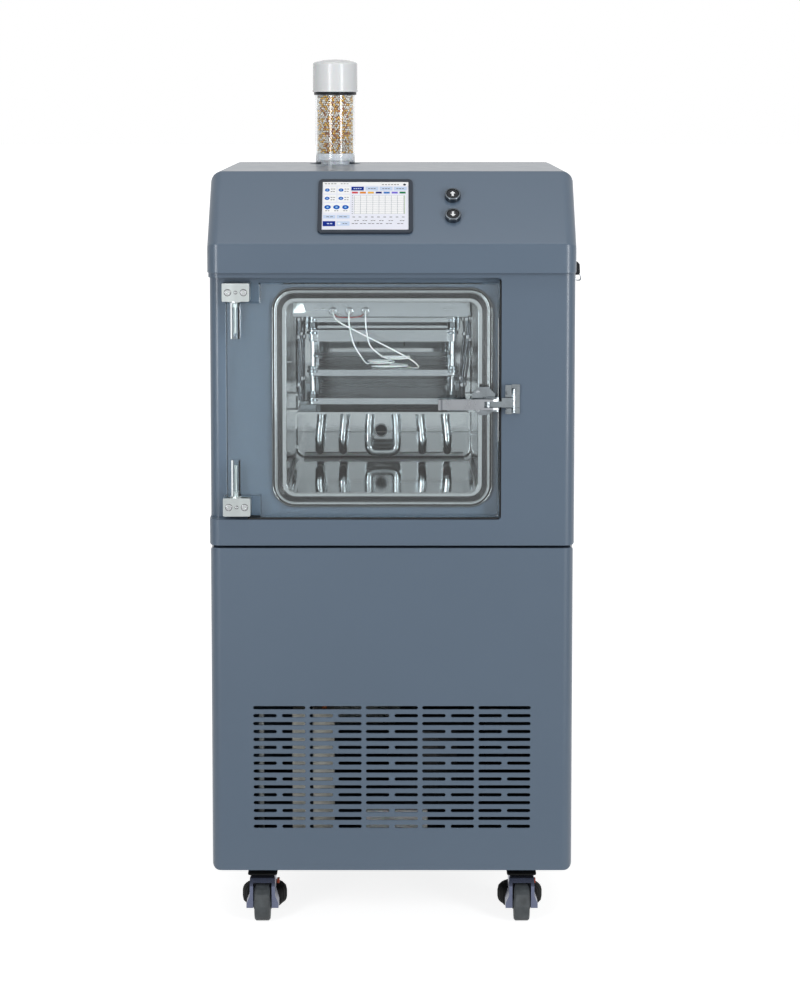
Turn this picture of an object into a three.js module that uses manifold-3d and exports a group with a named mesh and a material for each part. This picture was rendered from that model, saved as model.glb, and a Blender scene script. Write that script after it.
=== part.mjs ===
// A floor-standing freeze dryer with a clear swing door, a shelf stack that presses stoppers home,
// a sloped control hood, a desiccant column and levelling castors.
// Millimetres, +Z up, front facing -Y, origin on the floor under the middle of the cabinet.
import * as THREE from "three";
import { mergeVertices } from "three/addons/utils/BufferGeometryUtils.js";
import Module from "manifold-3d";

const wasm = await Module();
wasm.setup();

// ---------------------------------------------------------------------------------------- sizes

const SEAT = 0.3; // gap kept where one piece seats on another
const RUNNING = 0.4; // clearance on the radius of a sliding or turning fit
const SHEET = 3; // folded panel sheet

const CABINET = { width: 600, depth: 650, bottom: 98, cornerRadius: 18 };
const HALF = CABINET.width / 2;
const FRONT = -CABINET.depth / 2;
const BACK = CABINET.depth / 2;

const PANEL_RETURN = 65; // how far the front panels fold back
const RETURN_END = FRONT + PANEL_RETURN;
const LOWER_PANEL = { half: HALF, top: 641.5, footRadius: 12, topRadius: 5 };
const PANEL_SEAM = 4.5;
const UPPER_PANEL = { half: HALF + 1.5, radius: 5 };
const UPPER_PANEL_BOTTOM = LOWER_PANEL.top + PANEL_SEAM;
const SIDE_PANEL = { half: HALF + 1.5, thick: 5, bottom: 118, edgeRadius: 8 };
const SIDE_INNER = SIDE_PANEL.half - SIDE_PANEL.thick;
const REAR_PANEL_BOTTOM = 118;

const HOOD = { half: HALF + 2.2, lip: 1097, crease: 1145, top: 1260, overhang: 15, edgeRadius: 20 };
const SLOPE_TILT = THREE.MathUtils.degToRad(45);
const HOOD_FRONT = FRONT - HOOD.overhang;
const SLOPE_RISE = HOOD.top - HOOD.crease;
const SLOPE_RUN = SLOPE_RISE * Math.tan(SLOPE_TILT);

const GRILLE = { rows: 16, pitch: 13.4, bottom: 172.7, columns: 5, slot: 86.6, land: 6.9, height: 5.8, bridge: 8.6 };

const RECESS = { right: 180, bottom: 689, top: 1089, depth: 36, radius: 6, leftRadius: 16 };
const RECESS_FLOOR = FRONT + RECESS.depth;

const CHAMBER = { x: -16, z: 889, bore: 315, boreRadius: 16, wall: 4, depth: 430, backWall: 6 };
const FLANGE = { size: 365, radius: 37, thick: 6 };
const FLANGE_FACE = RECESS_FLOOR - SEAT - FLANGE.thick;
const CHAMBER_BACK = FLANGE_FACE + CHAMBER.depth;
const CHAMBER_ROOF = CHAMBER.z + CHAMBER.bore / 2;
const CHAMBER_FLOOR = CHAMBER.z - CHAMBER.bore / 2;
const VAPOUR_PORT = { x: -21, z: 780, radius: 10 };

const DOOR = { left: -273, right: 177, bottom: 693, top: 1080, thick: 24, chamfer: 2, cornerRadius: 3 };
const DOOR_BACK = FRONT + DOOR.thick;
const GASKET = { inset: 6, width: 12 };

const HINGE = { x: -257, boreRadius: 8, boreDepth: 60, pinRadius: 3.5, pinLength: 53 };
const HINGE_Y = FRONT + DOOR.thick / 2;
const HINGE_BLOCK = { left: -278, right: -233, height: 30, proud: 6, edge: 1.2 };
const NOTCH = { right: -218, clearance: 2 };

const LATCH = {
  pivotX: 172,
  linkPivotX: 158,
  pivotOut: 9,
  z: 881.7,
  leverHeight: 17.4,
  leverEnd: 79,
  wall: 3.6,
  web: 2.6,
  knuckle: 5,
};
const LATCH_PLATE = { left: 131.5, right: 169.5, bottom: 863, top: 909.5, thick: 3, corner: 11 };
const KEEPER = { left: 186, right: 210, bottom: 866, lowTop: 875.5, highBottom: 898, top: 914, thick: 3, out: 14 };
const HOOK_BAR = { radius: 2.5, bottom: 868, top: 907 };

const PAN = { flange: 22, cornerRadius: 18, rollRadius: 12 };
const DECK = { z: 650, flange: 20 };

const CATCH = {
  y: -278,
  width: 18,
  bottom: 1080.5,
  leverBottom: 1091,
  leverTop: 1109,
  top: 1113.5,
  leverOut: 8,
  bailOut: 11,
  wire: 1.8,
};

const SCREEN = { x: -43.6, width: 142, height: 106.6, bezelWidth: 156, bezelHeight: 120, bezelRadius: 8, proud: 4 };
const SCREEN_BODY = { width: 146, height: 110, depth: 30 };
const BUTTON = { x: 100.4, spacing: 45, collarRadius: 13.5, capRadius: 10, height: 9, neckRadius: 9.5, neck: 26 };
const BUTTON_TRAVEL = 2;

const COLUMN = { x: -105, y: 211, holeRadius: 46.5, tubeRadius: 36, wall: 3, foot: 1165, tubeTop: 1392 };
const COLUMN_CAP = { radius: 41, bottom: 1391, top: 1449.5 };
const DESICCANT = { bottom: 1279, top: 1386 };

const SHELF = { x: -15.5, width: 216, front: -255, depth: 300 };
const ROD = { radius: 3.5, halfSpan: 116, inset: 10, top: 1040 };
const PLATFORM = { bottom: 858, top: 862, halfWidth: 150, margin: 15 };
const SHELVES = {
  bottom: { z0: 873, z1: 883.6 },
  middle: { z0: 920.5, z1: 931.4 },
  top: { z0: 978, z1: 998 },
};
const PRESS = { z0: 1000.5, pad: 1005, neck: 1010.5, z1: 1018.5 };
const RAM = { radius: 10, top: 1150 };

const HEADER = { front: -271, thick: 4, bottom: 1021, left: -164, right: 126, corner: 12 };
const GLAND = { radius: 6.8, boreRadius: 2, reach: 8, z: 1030.3, xs: [-97.4, -70.6, -43.7] };
const WIRE_RADIUS = 1.2;

const COIL = { tube: 4.75, y: 98, z: 776, loopDepth: 27, loopHeight: 32, pitch: 41 };

const CASTOR = { x: 218, y: 212, trail: 70, plateThick: 4, plate: 64 };
const WHEEL = { radius: 31.5, width: 26, boreRadius: 4.5, hubHalf: 15 };
const FORK = { half: 21.25, arm: 5.7, top: 79, headRadius: 25 };
const LEVELLER = { radius: 37, bottom: 16, padTop: 24, top: 40, padRadius: 28, stemRadius: 6, stemTop: 80 };

// ------------------------------------------------------------------------------------ materials

const standard = (color, roughness, metalness = 0) =>
  new THREE.MeshStandardMaterial({ color, roughness, metalness });

const MATERIAL = {
  paint: standard(0x66788a, 0.45),
  darkSteel: standard(0x3b4046, 0.5, 0.6),
  steel: standard(0xc4c9cc, 0.22, 1),
  aluminium: standard(0xcdd1d3, 0.35, 1),
  acrylic: new THREE.MeshStandardMaterial({ color: 0xe6f0f2, roughness: 0.05, transparent: true, opacity: 0.25 }),
  rubber: standard(0x2a2c2e, 0.8),
  clearRubber: standard(0xb9c0c2, 0.5),
  blackPlastic: standard(0x23262b, 0.4),
  bezel: standard(0x474d58, 0.4),
  screen: standard(0xd9e1ee, 0.2),
  whitePlastic: standard(0xe8ebee, 0.3),
  desiccant: standard(0xc98f3c, 0.9),
  wire: standard(0xe4e6e6, 0.4),
  copper: standard(0xb87333, 0.35, 1),
  tan: standard(0x9a8468, 0.6, 0.3),
  wheel: standard(0x5a5f66, 0.7),
  fork: standard(0x8a8fa0, 0.45, 0.7),
};

// -------------------------------------------------------------------------------------- helpers

// A closed geometry as a solid that can be joined and cut.
function solid(geometry) {
  const loose = geometry.index ? geometry.toNonIndexed() : geometry;
  const bare = new THREE.BufferGeometry().setAttribute("position", loose.getAttribute("position"));
  const merged = mergeVertices(bare, 1e-4);
  return new wasm.Manifold(
    new wasm.Mesh({
      numProp: 3,
      vertProperties: new Float32Array(merged.attributes.position.array),
      triVerts: new Uint32Array(merged.index.array),
    }),
  );
}

// A solid as a flat-shaded geometry.
function geometryOf(made) {
  const mesh = made.getMesh();
  const shared = new THREE.BufferGeometry();
  shared.setAttribute("position", new THREE.BufferAttribute(new Float32Array(mesh.vertProperties), 3));
  shared.setIndex(new THREE.BufferAttribute(new Uint32Array(mesh.triVerts), 1));
  const flat = shared.toNonIndexed();
  flat.computeVertexNormals();
  return flat;
}

const join = (...solids) => solids.reduce((sum, next) => sum.add(next));
const cut = (body, ...tools) => tools.reduce((rest, tool) => rest.subtract(tool), body);

const ALONG_X = new THREE.Matrix4().makeBasis(
  new THREE.Vector3(0, 1, 0),
  new THREE.Vector3(0, 0, 1),
  new THREE.Vector3(1, 0, 0),
);

function box([x0, x1], [y0, y1], [z0, z1]) {
  const block = new THREE.BoxGeometry(x1 - x0, y1 - y0, z1 - z0);
  return solid(block.translate((x0 + x1) / 2, (y0 + y1) / 2, (z0 + z1) / 2));
}

// An outline pushed out along Z; each arc in it is drawn with this many straight steps.
function extruded(shape, depth, arcSteps) {
  return new THREE.ExtrudeGeometry(shape, { depth, bevelEnabled: false, curveSegments: arcSteps / 2 });
}

// Prisms of an outline in XY, XZ or YZ, between two heights on the third axis.
function prismZ(shape, z0, z1, arcSteps = 3) {
  return solid(extruded(shape, z1 - z0, arcSteps).translate(0, 0, z0));
}

function prismY(shape, y0, y1, arcSteps = 3) {
  return solid(extruded(shape, y1 - y0, arcSteps).rotateX(Math.PI / 2).translate(0, y1, 0));
}

function prismX(shape, x0, x1, arcSteps = 3) {
  return solid(extruded(shape, x1 - x0, arcSteps).applyMatrix4(ALONG_X).translate(x0, 0, 0));
}

const polygon = (...points) => new THREE.Shape(points.map(([a, b]) => new THREE.Vector2(a, b)));

// A rectangle with one radius for its two lower corners and one for its two upper corners.
function roundedRect([a0, a1], [b0, b1], lower, upper = lower) {
  const shape = new THREE.Shape();
  shape.moveTo(a0 + lower, b0);
  shape.lineTo(a1 - lower, b0);
  shape.absarc(a1 - lower, b0 + lower, lower, -Math.PI / 2, 0, false);
  shape.lineTo(a1, b1 - upper);
  shape.absarc(a1 - upper, b1 - upper, upper, 0, Math.PI / 2, false);
  shape.lineTo(a0 + upper, b1);
  shape.absarc(a0 + upper, b1 - upper, upper, Math.PI / 2, Math.PI, false);
  shape.lineTo(a0, b0 + lower);
  shape.absarc(a0 + lower, b0 + lower, lower, Math.PI, 1.5 * Math.PI, false);
  return shape;
}

// A slot with round ends, longer along the first axis.
function slot(a, b, length, height) {
  const shape = new THREE.Shape();
  const end = length / 2 - height / 2;
  shape.absarc(a + end, b, height / 2, -Math.PI / 2, Math.PI / 2, false);
  shape.absarc(a - end, b, height / 2, Math.PI / 2, 1.5 * Math.PI, false);
  return shape;
}

function circle(x, y, radius) {
  const shape = new THREE.Shape();
  for (let quarter = 0; quarter < 4; quarter++) {
    shape.absarc(x, y, radius, (quarter * Math.PI) / 2, ((quarter + 1) * Math.PI) / 2, false);
  }
  return shape;
}

// Round bars, by the axis they run along.
function barZ(x, y, [z0, z1], radius, sides = 16) {
  const bar = new THREE.CylinderGeometry(radius, radius, z1 - z0, sides);
  return solid(bar.rotateX(Math.PI / 2).translate(x, y, (z0 + z1) / 2));
}

function barX([x0, x1], y, z, radius, sides = 12) {
  const bar = new THREE.CylinderGeometry(radius, radius, x1 - x0, sides);
  return solid(bar.rotateZ(Math.PI / 2).translate((x0 + x1) / 2, y, z));
}

function barY(x, [y0, y1], z, radius, sides = 16) {
  const bar = new THREE.CylinderGeometry(radius, radius, y1 - y0, sides);
  return solid(bar.translate(x, (y0 + y1) / 2, z));
}

// A turned piece about a vertical axis: its profile is [radius, height] pairs, from the foot up.
function turnedGeometry(profile, sides) {
  const points = profile.map(([r, z]) => new THREE.Vector2(r, z));
  return new THREE.LatheGeometry(points, sides).rotateX(Math.PI / 2);
}

const turned = (profile, x, y, sides = 16) => solid(turnedGeometry(profile, sides).translate(x, y, 0));

// A round tube along a smooth line through points.
function tube(points, radius, sides, steps) {
  const path = new THREE.CatmullRomCurve3(points.map((p) => new THREE.Vector3(...p)));
  const ring = [];
  for (let i = 0; i < sides; i++) {
    const angle = (2 * Math.PI * i) / sides;
    ring.push(new THREE.Vector2(radius * Math.cos(angle), radius * Math.sin(angle)));
  }
  return solid(new THREE.ExtrudeGeometry(new THREE.Shape(ring), { steps, extrudePath: path }));
}

const machine = new THREE.Group();

function place(name, made, material, parent = machine) {
  const mesh = new THREE.Mesh(geometryOf(made), material);
  mesh.name = name;
  parent.add(mesh);
  return mesh;
}

// ----------------------------------------------------------------------------- base pan and deck

const PAN_FLOOR = CABINET.bottom + SHEET + SEAT;
const PAN_TOP = PAN_FLOOR + SHEET + SEAT;
const SHELL_X = SIDE_INNER - SEAT;
const SHELL_BACK = BACK - SHEET - SEAT;
const STUB = { radius: 7, length: 14 };

// A folded tray across the foot, with the castor plates and their swivel studs welded under it.
function basePan() {
  const front = FRONT + SHEET + SEAT;
  const { cornerRadius, rollRadius, flange } = PAN;
  const form = (inset, z1) => {
    const x = [-SHELL_X + inset, SHELL_X - inset];
    const plan = roundedRect(x, [front + inset, SHELL_BACK - inset], cornerRadius - inset, 4 - inset);
    const section = roundedRect(x, [PAN_FLOOR + inset, z1], rollRadius - inset, 0.5);
    return prismZ(plan, PAN_FLOOR + inset, z1).intersect(prismY(section, front - 1, BACK, 3));
  };
  const tray = cut(form(0, PAN_FLOOR + flange), form(SHEET, PAN_FLOOR + flange + 1));
  const plates = castorSpots().map(({ x, y }) => {
    const half = CASTOR.plate / 2;
    const plate = roundedRect([x - half, x + half], [y - half, y + half], 6);
    return join(
      prismZ(plate, CABINET.bottom - CASTOR.plateThick, PAN_FLOOR + 1, 2),
      barZ(x, y, [CABINET.bottom - STUB.length, CABINET.bottom], STUB.radius, 12),
    );
  });
  return join(tray, ...plates);
}

// The shelf between the side panels that carries the chamber, its edges folded down.
function midDeck() {
  const y = [RETURN_END + SEAT, SHELL_BACK];
  const z = [DECK.z - DECK.flange, DECK.z];
  return cut(
    box([-SHELL_X, SHELL_X], y, z),
    box([-SHELL_X + SHEET, SHELL_X - SHEET], [y[0] + SHEET, y[1] - SHEET], [z[0] - 1, z[1] - SHEET]),
  );
}

function castorSpots() {
  return [
    { name: "front_left", x: -CASTOR.x, y: -CASTOR.y, turn: 0 },
    { name: "front_right", x: CASTOR.x, y: -CASTOR.y, turn: 0 },
    { name: "rear_left", x: -CASTOR.x, y: CASTOR.y, turn: Math.PI },
    { name: "rear_right", x: CASTOR.x, y: CASTOR.y, turn: Math.PI },
  ];
}

// ------------------------------------------------------------------------------------- panels

// The solid form of a front panel: rounded upright corners in plan, rounded corners in front view.
function frontForm(half, [z0, z1], inset, back, lowerRadius, upperRadius) {
  const r = CABINET.cornerRadius;
  const x = half - r;
  const plan = new THREE.Shape();
  plan.moveTo(-half + inset, back);
  plan.lineTo(-half + inset, FRONT + r);
  plan.absarc(-x, FRONT + r, r - inset, Math.PI, 1.5 * Math.PI, false);
  plan.lineTo(x, FRONT + inset);
  plan.absarc(x, FRONT + r, r - inset, 1.5 * Math.PI, 2 * Math.PI, false);
  plan.lineTo(half - inset, back);
  const mask = roundedRect(
    [-half + inset, half - inset],
    [z0 + inset, z1 - inset],
    Math.max(lowerRadius - inset, 0.5),
    Math.max(upperRadius - inset, 0.5),
  );
  return prismZ(plan, z0 + inset, z1 - inset, 4).intersect(prismY(mask, FRONT - 1, back + 1, 3));
}

// Sixteen rows of slots; in every second row each slot is bridged in the middle.
function grilleSlots() {
  const shapes = [];
  const pitch = GRILLE.slot + GRILLE.land;
  const short = (GRILLE.slot - GRILLE.bridge) / 2;
  for (let row = 0; row < GRILLE.rows; row++) {
    const z = GRILLE.bottom + row * GRILLE.pitch;
    for (let column = 0; column < GRILLE.columns; column++) {
      const x = (column - (GRILLE.columns - 1) / 2) * pitch;
      if (row % 2) {
        shapes.push(slot(x, z, GRILLE.slot, GRILLE.height));
      } else {
        const side = (short + GRILLE.bridge) / 2;
        shapes.push(slot(x - side, z, short, GRILLE.height));
        shapes.push(slot(x + side, z, short, GRILLE.height));
      }
    }
  }
  return prismY(shapes, FRONT - 1, FRONT + SHEET + 1, 2);
}

function lowerFrontPanel() {
  const z = [CABINET.bottom, LOWER_PANEL.top];
  const { half, footRadius, topRadius } = LOWER_PANEL;
  return cut(
    frontForm(half, z, 0, RETURN_END, footRadius, topRadius),
    frontForm(half, z, SHEET, RETURN_END + 5, footRadius, topRadius),
    grilleSlots(),
  );
}

// The recess that the door lies in, open at its left end; grown by the sheet it gives its back face.
function recessForm(grow) {
  const { right, bottom, top, radius, leftRadius } = RECESS;
  const pocket = roundedRect([-HALF - 60, right + grow], [bottom - grow, top + grow], radius + grow);
  const round = leftRadius - grow;
  const floor = RECESS_FLOOR + grow;
  const edge = -UPPER_PANEL.half;
  const plan = new THREE.Shape();
  plan.moveTo(right + grow, FRONT - 20);
  plan.lineTo(right + grow, floor);
  plan.lineTo(edge + leftRadius, floor);
  plan.absarc(edge + leftRadius, floor + round, round, -Math.PI / 2, -Math.PI, true);
  plan.lineTo(edge - 50, floor + round);
  plan.lineTo(edge - 50, FRONT - 20);
  return prismZ(plan, bottom - grow, top + grow).intersect(prismY(pocket, FRONT - 30, RETURN_END, 3));
}

function upperFrontPanel() {
  const z = [UPPER_PANEL_BOTTOM, HOOD.lip - 0.5];
  const { half, radius } = UPPER_PANEL;
  const hollow = cut(frontForm(half, z, SHEET, RETURN_END + 5, radius, 0), recessForm(SHEET));
  const hole = CHAMBER.bore / 2 + CHAMBER.wall + 1;
  const opening = roundedRect(
    [CHAMBER.x - hole, CHAMBER.x + hole],
    [CHAMBER.z - hole, CHAMBER.z + hole],
    CHAMBER.boreRadius + CHAMBER.wall + 1,
  );
  return cut(
    frontForm(half, z, 0, RETURN_END, radius, 0),
    hollow,
    recessForm(0),
    prismY(opening, RECESS_FLOOR - 1, RECESS_FLOOR + SHEET + 1),
  );
}

function sidePanel(side) {
  const { half, bottom, edgeRadius } = SIDE_PANEL;
  const outline = roundedRect([RETURN_END + SEAT, BACK], [bottom, HOOD.lip - SEAT], edgeRadius, 1);
  const x = side < 0 ? [-half, -SIDE_INNER] : [SIDE_INNER, half];
  return prismX(outline, ...x, 3);
}

const FAN = { x: -40, z: 330, radius: 88, hub: 26, y: 262 };
const VACUUM_PORT = { x: 190, z: 520, tubeRadius: 14, flangeRadius: 20, reach: 22 };

function rearPanel() {
  const outline = roundedRect([-SHELL_X, SHELL_X], [REAR_PANEL_BOTTOM, HOOD.lip - SEAT], 4, 1);
  const sheet = prismY(outline, BACK - SHEET, BACK, 2);
  const vents = [];
  for (let row = -4; row <= 4; row++) {
    const z = row * 19;
    const half = Math.sqrt(FAN.radius ** 2 - z ** 2);
    [-1, 1].forEach((side) => vents.push(slot(FAN.x + side * (half / 2 + 2), FAN.z + z, half - 4, 7)));
  }
  for (let row = 0; row < 5; row++) {
    [-120, 120].forEach((x) => vents.push(slot(x, 760 + row * 19, 110, 7)));
  }
  return cut(
    sheet,
    prismY(vents, BACK - SHEET - 1, BACK + 1, 2),
    barY(VACUUM_PORT.x, [BACK - SHEET - 1, BACK + 1], VACUUM_PORT.z, VACUUM_PORT.tubeRadius + 0.5),
  );
}

// --------------------------------------------------------------------------------------- hood

// The frame of the sloped face: local X to the right, Y up the slope, Z out of it.
const SLOPE_FRAME = new THREE.Matrix4()
  .makeTranslation(0, HOOD_FRONT + SLOPE_RUN / 2, HOOD.crease + SLOPE_RISE / 2)
  .multiply(new THREE.Matrix4().makeRotationX(Math.PI / 2 - SLOPE_TILT));

// The hood's outer form, or its cavity when inset by the sheet, before the foot and back are cut.
function hoodForm(inset) {
  const below = HOOD.lip - 60;
  const behind = BACK + 60;
  const lean = inset * Math.tan((Math.PI / 2 - SLOPE_TILT) / 2);
  const bend = inset * Math.tan(SLOPE_TILT / 2);
  const front = HOOD_FRONT + inset;
  const top = HOOD.top - inset;
  const edge = [HOOD_FRONT + SLOPE_RUN + lean, top];
  const side = polygon([front, below], [behind, below], [behind, top], edge, [front, HOOD.crease - bend]);
  const radius = HOOD.edgeRadius - inset;
  const half = HOOD.half - inset;
  const moulded = new THREE.ExtrudeGeometry(side, {
    depth: 2 * (half - radius),
    bevelThickness: radius,
    bevelSize: radius,
    bevelOffset: -radius,
    bevelSegments: 3,
    curveSegments: 1,
  });
  return solid(moulded.applyMatrix4(ALONG_X).translate(-half + radius, 0, 0));
}

function hood() {
  const wide = [-HOOD.half - 1, HOOD.half + 1];
  const outer = hoodForm(0).intersect(box(wide, [FRONT - 60, BACK], [HOOD.lip, HOOD.top + 1]));
  const sill = box(wide, [FRONT - 60, FRONT + SHEET], [HOOD.lip - 1, HOOD.lip + SHEET]);
  const room = box(wide, [FRONT - 60, BACK - SHEET], [HOOD.lip - 1, HOOD.top + 1]);
  const cavity = cut(hoodForm(SHEET).intersect(room), sill);
  const w = SCREEN_BODY.width / 2 + 1;
  const h = SCREEN_BODY.height / 2 + 1;
  const window = roundedRect([SCREEN.x - w, SCREEN.x + w], [-h, h], 2);
  const cutters = [window, ...buttonSpots().map(({ v }) => circle(BUTTON.x, v, BUTTON.neckRadius + 0.5))];
  const holes = cutters.map((shape) => solid(extruded(shape, 20, 5).translate(0, 0, -10).applyMatrix4(SLOPE_FRAME)));
  const columnHole = barZ(COLUMN.x, COLUMN.y, [HOOD.top - 10, HOOD.top + 1], COLUMN.holeRadius, 32);
  return cut(outer, cavity, ...holes, columnHole);
}

// A draw catch over the seam at the hood's right: plate, lever and the wire bail that it pulls on.
function hoodCatch() {
  const { y, width, bottom, leverBottom, leverTop, top, leverOut, bailOut, wire } = CATCH;
  const wall = HOOD.half + SEAT;
  const inner = wall + bailOut - wire;
  const lever = polygon(
    [wall, leverBottom],
    [wall + leverOut - 1.5, leverBottom],
    [wall + leverOut, leverBottom + 2],
    [wall + leverOut - 0.6, leverTop],
    [wall + 2, top],
    [wall, top],
  );
  const bail = new THREE.Shape();
  bail.moveTo(wall, leverBottom + 1);
  bail.lineTo(wall, bottom + 5);
  bail.absarc(wall + 5, bottom + 5, 5, Math.PI, 1.5 * Math.PI, false);
  bail.lineTo(wall + bailOut - 6, bottom);
  bail.absarc(wall + bailOut - 6, bottom + 6, 6, 1.5 * Math.PI, 2 * Math.PI, false);
  bail.lineTo(wall + leverOut, leverBottom + 1);
  const eye = new THREE.Path();
  eye.moveTo(wall + wire, leverBottom + 0.5);
  eye.lineTo(wall + leverOut - wire, leverBottom + 0.5);
  eye.lineTo(inner, bottom + 6);
  eye.lineTo(inner - 3, bottom + wire);
  eye.lineTo(wall + 4, bottom + wire);
  eye.lineTo(wall + wire, bottom + 5);
  bail.holes.push(eye);
  return join(prismY(lever, y - width / 2, y + width / 2, 2), prismY(bail, y - width / 3, y + width / 3, 3));
}

// ------------------------------------------------------------------------- screen and buttons

const slopeGroup = new THREE.Group();
slopeGroup.applyMatrix4(SLOPE_FRAME);
machine.add(slopeGroup);

function centredRect(x, y, width, height, radius) {
  return roundedRect([x - width / 2, x + width / 2], [y - height / 2, y + height / 2], radius);
}

const SCREEN_FACE = SEAT + SCREEN.proud - 1;
const SCREEN_THICK = 1.6;

function screenHousing() {
  const { x, width, height, bezelWidth, bezelHeight, bezelRadius, proud } = SCREEN;
  const bezel = prismZ(centredRect(x, 0, bezelWidth, bezelHeight, bezelRadius), SEAT, SEAT + proud);
  const body = prismZ(centredRect(x, 0, SCREEN_BODY.width, SCREEN_BODY.height, 1.5), -SCREEN_BODY.depth, SEAT + 1, 2);
  const pocket = prismZ(
    centredRect(x, 0, width + 2 * SEAT, height + 2 * SEAT, 1),
    SCREEN_FACE - SCREEN_THICK - SEAT,
    SEAT + proud + 1,
    2,
  );
  return cut(join(bezel, body), pocket);
}

function screenGlass() {
  return prismZ(centredRect(SCREEN.x, 0, SCREEN.width, SCREEN.height, 1), SCREEN_FACE - SCREEN_THICK, SCREEN_FACE, 2);
}

function buttonSpots() {
  return [
    { name: "up_button", v: BUTTON.spacing / 2 },
    { name: "down_button", v: -BUTTON.spacing / 2 },
  ];
}

const BUTTON_SEAT_Z = 2.5;

// A chromed collar that clamps through the sheet, bored for the cap and its stem.
function buttonCollar(v) {
  const { collarRadius, capRadius, height, neckRadius, neck } = BUTTON;
  const bore = capRadius + RUNNING;
  const stemBore = 5 + RUNNING;
  const profile = [
    [stemBore, -neck],
    [neckRadius, -neck],
    [neckRadius, SEAT],
    [collarRadius, SEAT],
    [collarRadius, height - 1],
    [collarRadius - 1.2, height],
    [bore, height],
    [bore, BUTTON_SEAT_Z],
    [stemBore, BUTTON_SEAT_Z],
    [stemBore, -neck],
  ];
  return turned(profile, BUTTON.x, v, 16);
}

function buttonCap(v) {
  const { capRadius, height, neck } = BUTTON;
  const foot = BUTTON_SEAT_Z + BUTTON_TRAVEL + SEAT;
  const profile = [
    [0, -neck + 6],
    [5, -neck + 6],
    [5, foot],
    [capRadius, foot],
    [capRadius, height - 1.2],
    [capRadius - 1, height - 0.5],
    [0, height - 0.5],
  ];
  return turned(profile, BUTTON.x, v, 16);
}

// ------------------------------------------------------------------------------ desiccant column

const COLUMN_INNER = COLUMN.tubeRadius - COLUMN.wall;

// A cup under the hood's top sheet that the column drops into.
function columnSocket() {
  const under = HOOD.top - SHEET - SEAT;
  const inner = COLUMN.tubeRadius + SEAT;
  const profile = [
    [0, COLUMN.foot - 6],
    [inner + 4, COLUMN.foot - 6],
    [inner + 4, under - 4],
    [COLUMN.holeRadius + 12, under - 4],
    [COLUMN.holeRadius + 12, under],
    [inner, under],
    [inner, COLUMN.foot - SEAT],
    [0, COLUMN.foot - SEAT],
  ];
  return turned(profile, COLUMN.x, COLUMN.y, 20);
}

// The clear tube, open at the top, with a floor that stands in the socket.
function columnTube() {
  const profile = [
    [0, COLUMN.foot],
    [COLUMN.tubeRadius, COLUMN.foot],
    [COLUMN.tubeRadius, COLUMN.tubeTop],
    [COLUMN_INNER, COLUMN.tubeTop],
    [COLUMN_INNER, COLUMN.foot + COLUMN.wall],
    [0, COLUMN.foot + COLUMN.wall],
  ];
  return turned(profile, COLUMN.x, COLUMN.y, 20);
}

function columnCap() {
  const { radius, bottom, top } = COLUMN_CAP;
  const bore = COLUMN.tubeRadius + SEAT;
  const profile = [
    [bore, bottom - 6],
    [radius - 2, bottom - 6],
    [radius - 2, bottom],
    [radius, bottom],
    [radius, top - 14],
    [radius - 1.5, top - 8],
    [radius - 6, top - 3],
    [radius - 14, top - 0.8],
    [0, top],
    [0, COLUMN.tubeTop + SEAT],
    [bore, COLUMN.tubeTop + SEAT],
    [bore, bottom - 6],
  ];
  return turned(profile, COLUMN.x, COLUMN.y, 20);
}

// The packed bed on its white perforated support, as one filling with a stem down to the tube floor.
function desiccantFill() {
  const r = COLUMN_INNER - SEAT;
  const profile = [
    [0, COLUMN.foot + COLUMN.wall + SEAT],
    [r - 8, COLUMN.foot + COLUMN.wall + SEAT],
    [r - 8, HOOD.top],
    [r, HOOD.top + 4],
    [r, DESICCANT.top],
    [0, DESICCANT.top],
  ];
  return turned(profile, COLUMN.x, COLUMN.y, 20);
}

// ------------------------------------------------------------------------------------- chamber

function square(size, radius) {
  return roundedRect(
    [CHAMBER.x - size / 2, CHAMBER.x + size / 2],
    [CHAMBER.z - size / 2, CHAMBER.z + size / 2],
    radius,
  );
}

function vacuumChamber() {
  const { bore, boreRadius, wall, backWall } = CHAMBER;
  const shell = prismY(square(bore + 2 * wall, boreRadius + wall), FLANGE_FACE + 1, CHAMBER_BACK + backWall);
  const flange = prismY(square(FLANGE.size, FLANGE.radius), FLANGE_FACE, FLANGE_FACE + FLANGE.thick, 5);
  const saddles = [FLANGE_FACE + 95, CHAMBER_BACK - 60].map((y) =>
    box([CHAMBER.x - 120, CHAMBER.x + 120], [y, y + 30], [DECK.z + SEAT, CHAMBER_FLOOR - wall + 1]),
  );
  return cut(
    join(shell, flange, ...saddles),
    prismY(square(bore, boreRadius), FLANGE_FACE - 1, CHAMBER_BACK),
    barZ(SHELF.x, RAM_Y, [CHAMBER_ROOF - 1, CHAMBER_ROOF + wall + 1], RAM.radius + RUNNING),
    barY(VAPOUR_PORT.x, [CHAMBER_BACK - 1, CHAMBER_BACK + backWall + 1], VAPOUR_PORT.z, VAPOUR_PORT.radius, 20),
  );
}

function doorGasket() {
  const outer = FLANGE.size - 2 * GASKET.inset;
  const inner = outer - 2 * GASKET.width;
  const y = [DOOR_BACK + SEAT, FLANGE_FACE - SEAT];
  return cut(
    prismY(square(outer, FLANGE.radius - GASKET.inset), ...y, 4),
    prismY(square(inner, FLANGE.radius - GASKET.inset - GASKET.width), y[0] - 1, y[1] + 1, 4),
  );
}

const RAM_Y = SHELF.front + SHELF.depth / 2;
const ROD_YS = [SHELF.front + ROD.inset, SHELF.front + SHELF.depth - ROD.inset];
const ROD_XS = [SHELF.x - ROD.halfSpan, SHELF.x + ROD.halfSpan];

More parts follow.
